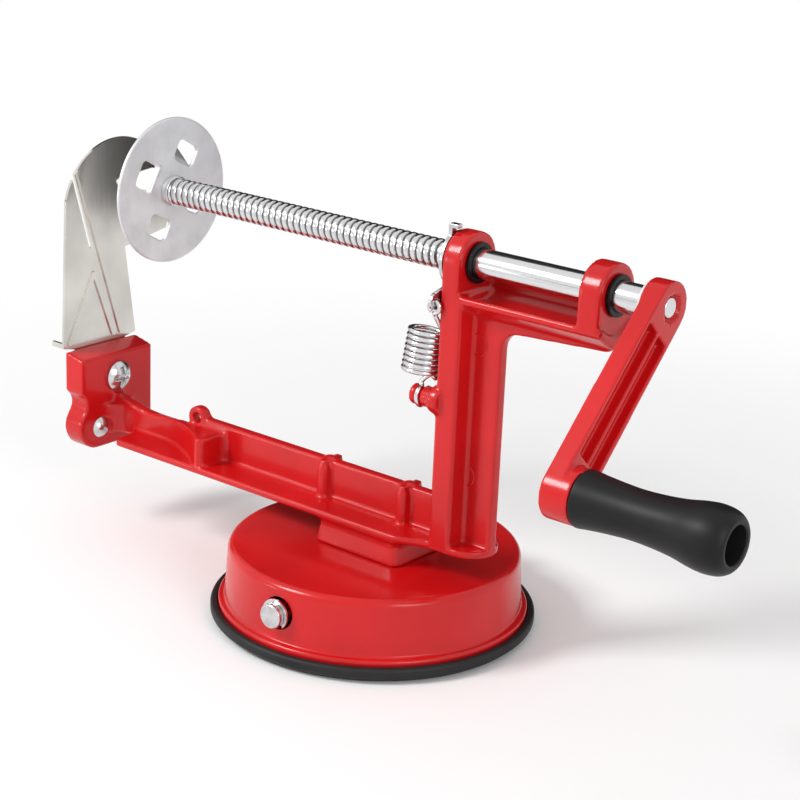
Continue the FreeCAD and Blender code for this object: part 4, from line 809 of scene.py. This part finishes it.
class CUTTER_OT_suction_base(bpy.types.Operator):
    """Make the rubber pad, the round housing and what shows of the cam shaft"""
    bl_idname = "cutter.suction_base"
    bl_label = "Suction base"

    def execute(self, context):
        rim = PAD_HIGH.x
        pad_top = PAD_HIGH.z
        seat = HOUSING_HIGH.x + 0.3
        pad = lathe("rubber_pad", turned([
            (0, 0, 0), (12, 0, 0), (12.8, 0.8, 0), (rim - 12.0, 0.8, 0), (rim - 11.2, 0, 0.3),
            (rim - 2.4, 0, 2.0), (rim, 2.1, 1.2), (rim, pad_top, 1.3), (seat, pad_top, 0.3),
            (seat, 3.9, 0), (0, 3.9, 0),
        ]), (0, 0, 0), Z_AXIS, 160)
        dress_turned(pad, 40, "base", "black_rubber", "suction_pad")
        flange = HOUSING_HIGH.x
        low = HOUSING_LOW.z
        top = HOUSING_HIGH.z
        wall = flange - 2.0
        shell = lathe("housing_shell", turned([
            (0, top - 2.5, 0), (44.5, top - 2.5, 1.5), (45.5, low, 0), (flange, low, 0.5),
            (flange, low + 2.4, 1.0), (wall, low + 2.4, 1.1), (47.0, top, 2.6), (0, top, 0),
        ], steps=8), (0, 0, 0), Z_AXIS, 192)
        drill = lathe("housing_bore", turned([
            (0, -60, 0), (SHAFT_BORE, -60, 0), (SHAFT_BORE, -40, 0), (SHAFT_BORE, 40, 0),
            (SHAFT_BORE, 60, 0), (0, 60, 0),
        ]), (SHAFT_X, 0, BORE_Z), Y_AXIS, 64)
        shell = without(object_of(shell, "housing_shell"), drill)
        shade_by_angle(shell.data, 40)
        dress(shell, "base", "red_paint", "base_housing")
        soften_nodes("base", (("feed_lever_pivot", 0.2), ("blade_nut", 0.25)))
        soften_nodes("cam", (("cam_shaft", 0.35), ("suction_lever", 0.6), ("shaft_clip", 0.15)))
        return {"FINISHED"}


class CUTTER_OT_frame(bpy.types.Operator):
    """Make the cast frame with its soft edges"""
    bl_idname = "cutter.frame"
    bl_label = "Frame"

    def execute(self, context):
        extra = [bead("rib_bump", (x, 0, WEB_TOP), RIB_BUMP) for x in RIB_PLACES]
        for x in RIB_PLACES:
            for side in (-1, 1):
                extra.append(lathe("pilaster", turned([
                    (0, FLANGE_TOP - 1, 0), (PILASTER_RADIUS, FLANGE_TOP - 1, 0),
                    (PILASTER_RADIUS, WEB_TOP - 1.2, 1.2), (0, WEB_TOP - 0.6, 0),
                ]), (x, side * PILASTER_Y, 0), Z_AXIS, 32))
        start, end = LIP_ENDS
        lip = [(start, LIP_FOOT), (end, LIP_FOOT), (end, LIP_TOP), (start, LIP_TOP)]
        extra.append(slab("back_lip", lip, facing_y(LIP_Y), LIP_WIDTH))
        casting = cast("frame", "frame_casting", voxel=0.55, smoothing=10, extra=extra)
        dress(casting, "base", "red_paint", "frame")
        crank = cast("crank_arm", "crank_casting", voxel=0.32, smoothing=7, keep=0.6)
        deepen_channels(crank.data)
        dress(crank, "crank_rod", "red_paint", "crank_arm")
        marks = points_mesh("ejector_marks", [((x, -WEB_HALF, z), (math.pi / 2, 0, 0))
                                              for x, z in EJECTOR_MARKS])
        rings = ring_tree(MARK_RADIUS, MARK_THICKNESS).build("ejector_marks", marks)
        rings.data.shade_smooth()
        dress(rings, "base", "red_paint")
        return {"FINISHED"}


def deepen_channels(mesh):
    """Sinks the arm's two channels and a ring round the rod's end below the crank's face."""
    axis = Vector((0, GRIP_Y, GRIP_Z - ROD_Z))
    length = axis.length
    along_arm = axis.normalized()
    across_arm = X_AXIS.cross(along_arm)
    for vertex in mesh.vertices:
        x = vertex.co.x / MM
        offset = vertex.co / MM - Vector((0, 0, ROD_Z))
        along = offset.dot(along_arm)
        across = abs(offset.dot(across_arm))
        from_rod = math.hypot(offset.y, offset.z)
        if CRANK_FACE - SINK_BAND < x and from_rod < SINK_RADIUS:
            vertex.co.x -= SINK_DEPTH * MM
        in_channel = CHANNEL_MARGIN < along < length - CHANNEL_MARGIN and across < CHANNEL_REACH
        if CRANK_FACE - CHANNEL_BAND < x and in_channel:
            vertex.co.x = (CRANK_FACE - (CRANK_FACE - x) * CHANNEL_GAIN) * MM


def bead(name, centre, radii):
    """A closed oval bead."""
    work = bmesh.new()
    bmesh.ops.create_icosphere(work, subdivisions=3, radius=1.0)
    for vertex in work.verts:
        vertex.co = Vector([(c + r * v) * MM for c, r, v in zip(centre, radii, vertex.co)])
    return mesh_of(work, name)


def points_mesh(name, places):
    """Loose points in millimetres, each with the turn of what stands on it."""
    mesh = bpy.data.meshes.new(name)
    mesh.from_pydata([[c * MM for c in place] for place, turn in places], [], [])
    turns = mesh.attributes.new("turn", "FLOAT_VECTOR", "POINT")
    for datum, (place, turn) in zip(turns.data, places):
        datum.vector = turn
    return mesh


def stand_on_points(tree, instance, material):
    """Sets an instance on each point and ends the tree."""
    turn = tree.node("GeometryNodeInputNamedAttribute", {"Name": "turn"}, data_type="FLOAT_VECTOR")
    placed = tree.node("GeometryNodeInstanceOnPoints", {
        "Points": tree.input("Geometry"), "Instance": instance, "Rotation": turn})
    tree.finish(placed, material)
    return tree


def ring_tree(radius, thickness):
    """A low ring half sunk in the casting, on each point."""
    tree = Tree("ejector_ring", (("Ring radius", "Float", radius * MM),
                                 ("Thickness", "Float", thickness * MM)))
    swept = tree.tube(tree.circle(tree.input("Ring radius"), 48), tree.input("Thickness"), 10)
    return stand_on_points(tree, swept, MATERIALS["red_paint"])


def fastener_tree(name, radius, rim, dome, recess, shank, depth):
    """A domed fastener on each point: head, cross recess and shank are one wrapped grid."""
    tree = Tree(name, (
        ("Head radius", "Float", radius * MM), ("Rim height", "Float", rim * MM),
        ("Dome height", "Float", dome * MM), ("Recess depth", "Float", recess * MM),
        ("Shank radius", "Float", shank * MM), ("Shank length", "Float", depth * MM),
        ("Rows", "Int", 101), ("Facets", "Int", 97)))
    grid, along, turn = tree.grid()
    angle = turn * (2 * math.pi)

    def ease(low, high, amount):
        """Adds up to amount as the row goes from low to high."""
        return along.ramp(low, high) * amount

    head = tree.input("Head radius")
    stem = tree.input("Shank radius")
    reach = ease(0.0, 0.6, head) + ease(0.68, 0.74, stem - head) - ease(0.94, 1.0, stem)
    crown = (1.0 - along.ramp(0.0, 0.6) ** 2.4) * tree.input("Dome height")
    edge = tree.input("Rim height")
    height = crown + edge - ease(0.6, 0.68, edge) - ease(0.74, 0.94, tree.input("Shank length"))
    x = reach * angle.math("COSINE")
    y = reach * angle.math("SINE")

    def arm(across):
        """1 along one arm of the cross, 0 beside it."""
        return (across.math("ABSOLUTE") / head).step(0.19, 0.09)

    cross = arm(x).math("MAXIMUM", arm(y))
    dip = cross * along.step(0.42, 0.3) * tree.input("Recess depth")
    height = height - dip * along.math("LESS_THAN", 0.6)
    merged = tree.wrap(grid, x, y, height, 2e-6)
    return stand_on_points(tree, merged, MATERIALS["plated_fixings"])


class CUTTER_OT_fixings(bpy.types.Operator):
    """Make the cross-head screws and the rivets"""
    bl_idname = "cutter.fixings"
    bl_label = "Fixings"

    def execute(self, context):
        right = (0, math.pi / 2, 0)
        left = (0, -math.pi / 2, 0)
        low, high = box_mm("blade_screw")
        seat = high.x - head_height(BLADE_HEAD)
        centre = ((low.y + high.y) / 2, (low.z + high.z) / 2)
        add_fasteners("blade_screw_head", "base", "blade_screw", BLADE_HEAD, (high.z - low.z) / 2,
                      seat - low.x, [((seat, *centre), right)])
        low, high = box_mm("lever_screw")
        seat = high.y - head_height(LEVER_HEAD)
        add_fasteners("lever_screw_head", "cam", "lever_screw", LEVER_HEAD, (high.z - low.z) / 2,
                      seat - low.y, [((SHAFT_X, seat, BORE_Z), (-math.pi / 2, 0, 0))])
        low, high = box_mm("blade_rivets")
        height = head_height(RIVET_HEAD)
        radius = (high.z - low.z) / 2
        z = (low.z + high.z) / 2
        ends = [((x, y, z), turn) for x, turn in ((high.x - height, right), (low.x + height, left))
                for y in (low.y + radius, high.y - radius)]
        add_fasteners("rivet_heads", "base", "blade_rivets", RIVET_HEAD, radius, RIVET_SHANK, ends)
        return {"FINISHED"}


def head_height(head):
    """Rim and dome of a fastener's head together."""
    return head[0] + head[1]


def add_fasteners(name, body, node, head, radius, shank, places):
    """Sets a domed fastener on each place and finishes them as one piece."""
    tree = fastener_tree(name, radius, *head, SHANK_RADIUS, shank)
    piece = tree.build(name, points_mesh(name, places))
    shade_by_angle(piece.data, 62)
    dress(piece, body, "plated_fixings", node)


def slab(name, outline, place, thickness):
    """A flat plate: its outline set in space by a function of along, across and depth."""
    work = bmesh.new()
    layers = [[work.verts.new(place(a, b, depth) * MM) for a, b in outline]
              for depth in (0.0, thickness)]
    work.faces.new(layers[0])
    work.faces.new(layers[1])
    for index in range(len(outline)):
        following = (index + 1) % len(outline)
        work.faces.new((layers[0][index], layers[0][following],
                        layers[1][following], layers[1][index]))
    return tidy(mesh_of(work, name))


def facing_y(near):
    """Sets a slab's outline along X and Z, its depth running from near along Y."""
    return lambda x, z, depth: Vector((x, near + depth, z))


def rounded_window(corner, steps=5):
    """Outline of one window about its middle."""
    wide, deep = (side / 2 - corner for side in WINDOW_SIZE)
    points = []
    for index, (x, y) in enumerate(((wide, deep), (-wide, deep), (-wide, -deep), (wide, -deep))):
        for step in range(steps + 1):
            angle = math.pi / 2 * (index + step / steps)
            points.append((x + corner * math.cos(angle), y + corner * math.sin(angle)))
    return points


def pressed_disc():
    """The pusher disc with its windows, their metal bent forwards into leaning prongs."""
    radius = (DISC_HIGH.z - DISC_LOW.z) / 2
    back = DISC_HIGH.x
    front = back - DISC_THICKNESS
    plate = lathe("disc_plate", turned([
        (0, front, 0), (radius, front, 0.4), (radius, back, 0.4), (0, back, 0),
    ]), (0, 0, ROD_Z), X_AXIS, 160)
    piece = object_of(plate, "disc_pressing")
    prongs = []
    for degrees, pitch, lean_degrees, share in WINDOWS:
        angle = math.radians(degrees)
        lean = math.radians(lean_degrees)
        inner = pitch - WINDOW_SIZE[1] / 2
        out = Vector((0, math.cos(angle), math.sin(angle)))
        across = Vector((0, -math.sin(angle), math.cos(angle)))
        middle = Vector((0, 0, ROD_Z)) + out * pitch

        def in_plate(a, b, depth):
            return middle + across * a + out * b + X_AXIS * (front - 2 + depth)

        without(piece, slab("window_cut", rounded_window(WINDOW_CORNER), in_plate, 6.0))
        root = Vector((back - DISC_THICKNESS / 2, 0, ROD_Z)) + out * inner
        along = out * math.sin(lean) - X_AXIS * math.cos(lean)
        inwards = -out * math.cos(lean) - X_AXIS * math.sin(lean)

        def in_prong(a, b, depth):
            return root + along * a * share + across * b + inwards * depth

        prongs.append(slab("prong", PRONG_OUTLINE, in_prong, DISC_THICKNESS))
        if degrees == ROLLED_FOLD:
            prongs.append(lathe("fold", turned(FOLD_SECTION), root + X_AXIS * 0.45, across, 24))
    piece.data = joined([piece.data, *prongs], piece.data.name)
    return melt(piece, voxel=0.25, smoothing=4, keep=0.45)


def thread_tree(settings):
    """Grid wrapped round the rod's axis, its radius dipping along a helix."""
    start = box_mm("disc_collar")[1].x * MM - 1 * MM
    tree = Tree("rod_thread", (
        ("Pitch", "Float", settings.pitch), ("Depth", "Float", settings.depth),
        ("Radius", "Float", ROD_RADIUS * MM), ("Start", "Float", start),
        ("End", "Float", settings.end), ("Axis height", "Float", ROD_Z * MM),
        ("Facets", "Int", settings.facets), ("Rows", "Int", 1300)))
    grid, along, turn = tree.grid()
    x = along.math("MULTIPLY_ADD", tree.input("End") - tree.input("Start"), tree.input("Start"))
    phase = x / tree.input("Pitch") - turn
    wave = (phase * (2 * math.pi)).math("COSINE")
    groove = wave.math("MULTIPLY_ADD", 0.5, 0.5) ** 2.6
    dip = groove * (along.step(0.0, 0.01) * along.step(1.0, 0.985))
    inside = along.math("GREATER_THAN", 1e-5) * along.math("LESS_THAN", 1 - 1e-5)
    radius = (tree.input("Radius") - dip * tree.input("Depth")) * inside
    angle = turn * (2 * math.pi)
    z = radius.math("MULTIPLY_ADD", angle.math("SINE"), tree.input("Axis height"))
    merged = tree.wrap(grid, x, radius * angle.math("COSINE"), z, 1e-6)
    tree.finish(merged, MATERIALS["thread_chrome"])
    return tree


class CUTTER_OT_rod(bpy.types.Operator):
    """Make the threaded rod with its plain end, the bushes and the collar"""
    bl_idname = "cutter.rod"
    bl_label = "Rod"

    def execute(self, context):
        settings = context.scene.cutter.thread
        thread = thread_tree(settings).build("rod_thread")
        thread.data.shade_smooth()
        dress(thread, "crank_rod", "chrome", "drive_rod")
        thread.data.materials[0] = MATERIALS["thread_chrome"]
        end = settings.end / MM
        hub = box_mm("crank_arm")[0].x
        tail = lathe("rod_tail", turned([
            (0, end - 2, 0), (CORE_RADIUS, end - 2, 0), (CORE_RADIUS, end, 0),
            (ROD_RADIUS, end, 0.05), (ROD_RADIUS, hub, 0.4), (SPIGOT_RADIUS, hub, 0.1),
            (SPIGOT_RADIUS, ROD_HIGH.x, 0.5), (0, ROD_HIGH.x, 0),
        ]), (0, 0, ROD_Z), X_AXIS)
        dress_turned(tail, 35, "crank_rod", "chrome", "drive_rod")
        collar_low, collar_high = box_mm("disc_collar")
        nose = lathe("rod_nose", turned([
            (0, ROD_LOW.x, 0), (SPIGOT_RADIUS, ROD_LOW.x, 0.4), (SPIGOT_RADIUS, collar_low.x, 0.1),
            (CORE_RADIUS, collar_low.x, 0), (CORE_RADIUS, collar_high.x, 0), (0, collar_high.x, 0),
        ]), (0, 0, ROD_Z), X_AXIS)
        dress_turned(nose, 35, "crank_rod", "chrome", "drive_rod")
        radius = (collar_high.z - collar_low.z) / 2
        collar = ring("rod_collar", turned([
            (ROD_RADIUS - 0.4, collar_low.x, 0), (radius, collar_low.x, 0.3),
            (radius, collar_high.x - 0.6, 0.5), (ROD_RADIUS + 0.5, collar_high.x, 0.3),
            (ROD_RADIUS - 0.4, collar_high.x, 0),
        ]), (0, 0, ROD_Z), X_AXIS)
        dress_turned(collar, 35, "crank_rod", "chrome", "disc_collar")
        dress(pressed_disc(), "crank_rod", "satin_steel", "pusher_disc")
        soften_nodes("crank_rod", (("disc_nut", 0.3), ("grip_axle", 0.3),
                                   ("grip_washer", 0.15)))
        soften_nodes("feed_carriage", (("rod_washer", 0.15),))
        soften_nodes("base", (("front_bush", 0.3), ("rear_bush", 0.3)))
        return {"FINISHED"}


class CUTTER_OT_blade(bpy.types.Operator):
    """Make the blade plate with its broken edges"""
    bl_idname = "cutter.blade"
    bl_label = "Blade plate"

    def execute(self, context):
        soften_nodes("base", (("blade_plate", 0.2),))
        return {"FINISHED"}


class CUTTER_OT_feed(bpy.types.Operator):
    """Make the feed lever and its tension spring"""
    bl_idname = "cutter.feed"
    bl_label = "Feed lever"

    def execute(self, context):
        lever = bevelled("feed_lever", "feed_lever_edged", 0.25)
        without(lever, slab("tab_side", TAB_CORNERS, facing_y(TAB_SIDE), 4.0))
        dress(lever, "feed_lever", "plated_fixings", "feed_lever")
        settings = context.scene.cutter.spring
        points = spring_path(settings)
        path = bpy.data.meshes.new("feed_spring_wire")
        path.from_pydata([p * MM for p in points], [(i, i + 1) for i in range(len(points) - 1)], [])
        tree = Tree("spring_wire", (("Wire radius", "Float", settings.wire),
                                    ("Facets", "Int", 12)))
        curve = tree.node("GeometryNodeMeshToCurve", {"Mesh": tree.input("Geometry")})
        swept = tree.tube(curve, tree.input("Wire radius"), tree.input("Facets"), caps=True)
        tree.finish(swept, MATERIALS["chrome"])
        spring = tree.build("feed_spring_wire", path)
        spring.data.shade_smooth()
        spring.data.materials.clear()
        spring.data.materials.append(MATERIALS["chrome"])
        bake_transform(spring)
        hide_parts("feed_spring")
        return {"FINISHED"}


def spring_path(settings):
    """The wire's middle line: ring on the peg, coil and ring in the lever's ear."""
    axis = (COIL_HIGH - COIL_LOW).normalized()
    side = -axis.cross(Y_AXIS).normalized()
    across = axis.cross(side)
    mean = settings.radius / MM
    steps = int(settings.turns * 24)
    low_ring = [PEG + PEG_LOOP * Vector((0, math.sin(a), math.cos(a)))
                for a in (math.radians(50 + 12 * i) for i in range(26))]
    coil = []
    for step in range(steps + 1):
        share = step / steps
        angle = 2 * math.pi * settings.turns * share
        coil.append(COIL_LOW.lerp(COIL_HIGH, share)
                    + mean * (math.cos(angle) * side + math.sin(angle) * across))
    high_ring = [EAR + EAR_LOOP * Vector((math.sin(a), 0, -math.cos(a)))
                 for a in (math.radians(14 * i) for i in range(24))]
    rise = [low_ring[-1], PEG + Vector((-0.3, -0.2, 4.6)), PEG + Vector((2.4, 0.2, 7.0)), coil[0]]
    climb = [coil[-1], coil[-1] + Vector((0.9, -1.6, 1.6)), high_ring[0]]
    line = low_ring[:-1] + smooth_line(rise, 6) + coil[1:-1] + smooth_line(climb, 6) + high_ring[1:]
    return [Vector(point) for point in line]


class CUTTER_OT_grip(bpy.types.Operator):
    """Make the turned grip with the recess in its end"""
    bl_idname = "cutter.grip"
    bl_label = "Grip"

    def execute(self, context):
        start = GRIP_LOW.x
        length = GRIP_HIGH.x - start
        outline = [(0.0, 7.7), (0.35, 8.1), (1.2, 8.1), (5.5, 7.6), (11.0, 7.15), (17.0, 6.9),
                   (24.0, 7.2), (30.0, 7.85), (35.5, 8.9), (39.6, 9.3), (43.2, 8.9),
                   (45.3, 7.9), (length, 6.9)]
        swell = smooth_line(outline, 5)
        points = [Vector((0, start))]
        points += [Vector((radius, start + along)) for along, radius in swell]
        points += [p for p in turned([
            (6.9, start + length, 0), (5.4, start + length, 0.5), (5.2, start + length - 13.0, 0.4),
            (0, start + length - 13.0, 0)], steps=4)][1:]
        grip = lathe("grip_body", points, (0, GRIP_Y, GRIP_Z), X_AXIS, 112)
        dress_turned(grip, 50, "grip", "black_grip", "grip")
        return {"FINISHED"}


def smooth_line(points, steps):
    """A smooth line through the points."""
    result = []
    for index in range(len(points) - 1):
        before = Vector(points[max(index - 1, 0)])
        start = Vector(points[index])
        end = Vector(points[index + 1])
        after = Vector(points[min(index + 2, len(points) - 1)])
        for step in range(steps):
            t = step / steps
            result.append(0.5 * (2 * start + (end - before) * t
                                 + (2 * before - 5 * start + 4 * end - after) * t * t
                                 + (3 * start - before - 3 * end + after) * t * t * t))
    result.append(Vector(points[-1]))
    return result


class CUTTER_OT_stage(bpy.types.Operator):
    """Make the floor, the lamps and the camera"""
    bl_idname = "cutter.stage"
    bl_label = "Stage"

    def execute(self, context):
        settings = context.scene.cutter.stage
        make_floor(settings)
        make_world(settings)
        for name, side, place, target in LAMPS:
            add_lamp(name, getattr(settings, name), side, place, target)
        dark = flag_cloth()
        for name, place, target, width, height in FLAGS:
            add_flag(name, place, target, width, height, dark)
        add_camera()
        return {"FINISHED"}


def flag_cloth():
    """Black cloth of the flags that give plated metal its dark edges."""
    shade = Shade("flag_cloth")
    weave = shade.noise(shade.place(), 0.8, 2.0)
    return shade.surface(base_color=shade.mix(weave, rgb((0.004, 0.004, 0.004)),
                                              rgb((0.008, 0.008, 0.008))), roughness=0.95)


def add_flag(name, place, target, width, height, cloth):
    """An upright dark card beside the table, seen in reflections alone."""
    along = (Vector(target) - Vector(place)).cross(Z_AXIS).normalized() * width / 2
    rise = Z_AXIS * height / 2
    card = sheet(name, Vector(place), along, rise, cloth)
    card.visible_camera = False
    card.visible_diffuse = False
    card.visible_transmission = False
    card.visible_shadow = False


def sheet(name, centre, along, rise, material):
    """One flat face round a centre, from its two half sides."""
    mesh = bpy.data.meshes.new(name)
    mesh.from_pydata([centre - along - rise, centre + along - rise, centre + along + rise,
                      centre - along + rise], [], [(0, 1, 2, 3)])
    mesh.materials.append(material)
    return object_of(mesh, name)


def make_floor(settings):
    half = 4.0
    floor = sheet("floor", Vector(), X_AXIS * half, Y_AXIS * half, floor_paper(settings))


def make_world(settings):
    """White for the camera and for reflections, a soft even sky for light."""
    shade = Shade("studio", "worlds")
    camera, glossy, through = shade.outputs("LightPath", {}, "Is Camera Ray", "Is Glossy Ray",
                                            "Is Transmission Ray")
    seen = camera + glossy.math("MAXIMUM", through)
    strength = shade.node("MapRange", {"Value": seen, "To Min": settings.sky, "To Max": 1.0})
    sky = shade.node("Background", {"Color": (1, 1, 1, 1), "Strength": strength})
    bpy.context.scene.world = shade.finish(sky, "OutputWorld")


def add_lamp(name, power, side, place, target):
    """A square soft lamp that faces a target."""
    lamp = bpy.data.lights.new(name, "AREA")
    lamp.energy = power
    lamp.shape = "SQUARE"
    lamp.size = side
    holder = bpy.data.objects.new(name, lamp)
    aim = (Vector(target) - Vector(place)).to_track_quat("-Z", "Y")
    holder.matrix_world = Matrix.Translation(place) @ aim.to_matrix().to_4x4()
    bpy.context.scene.collection.objects.link(holder)


def add_camera():
    """A long lens that looks down at the cutter from the crank's front side."""
    camera = bpy.data.cameras.new("camera")
    camera.sensor_width = SENSOR_MM
    camera.lens = FOCAL_PIXELS * SENSOR_MM / PICTURE_PIXELS
    camera.clip_start = 0.01
    camera.clip_end = 20.0
    forward = Vector((-math.sin(CAMERA_YAW) * math.cos(CAMERA_PITCH),
                      math.cos(CAMERA_YAW) * math.cos(CAMERA_PITCH), -math.sin(CAMERA_PITCH)))
    level = forward.cross(Z_AXIS).normalized()
    upright = level.cross(forward)
    right = math.cos(CAMERA_ROLL) * level + math.sin(CAMERA_ROLL) * upright
    up = -math.sin(CAMERA_ROLL) * level + math.cos(CAMERA_ROLL) * upright
    turn = Matrix((right, up, -forward)).transposed().to_4x4()
    holder = bpy.data.objects.new("camera", camera)
    holder.matrix_world = Matrix.Translation(Vector(CAMERA_PLACE) * MM) @ turn
    bpy.context.scene.collection.objects.link(holder)
    bpy.context.scene.camera = holder
    bpy.context.scene.view_settings.view_transform = "Standard"


class CUTTER_PT_panel(bpy.types.Panel):
    """Lists the settings and the steps of the cutter"""
    bl_idname = "CUTTER_PT_panel"
    bl_label = "Tornado potato cutter"
    bl_space_type = "VIEW_3D"
    bl_region_type = "UI"
    bl_category = "Cutter"

    def draw(self, context):
        settings = context.scene.cutter
        for group in (settings.finish, settings.thread, settings.spring, settings.stage):
            box = self.layout.box()
            for name in group.__annotations__:
                box.prop(group, name)
        for operator in OPERATORS:
            self.layout.operator(operator.bl_idname)


SETTINGS = (FinishSettings, ThreadSettings, SpringSettings, StageSettings, CutterSettings)
OPERATORS = (CUTTER_OT_finishes, CUTTER_OT_suction_base, CUTTER_OT_frame, CUTTER_OT_fixings,
             CUTTER_OT_rod, CUTTER_OT_blade, CUTTER_OT_feed, CUTTER_OT_grip, CUTTER_OT_stage)
CLASSES = SETTINGS + OPERATORS + (CUTTER_PT_panel,)


def register():
    for each in CLASSES:
        bpy.utils.register_class(each)
    bpy.types.Scene.cutter = bpy.props.PointerProperty(type=CutterSettings)


def unregister():
    del bpy.types.Scene.cutter
    for each in reversed(CLASSES):
        bpy.utils.unregister_class(each)


def main():
    register()
    for operator in OPERATORS:
        group, name = operator.bl_idname.split(".")
        getattr(getattr(bpy.ops, group), name)()


if __name__ == "__main__":
    main()
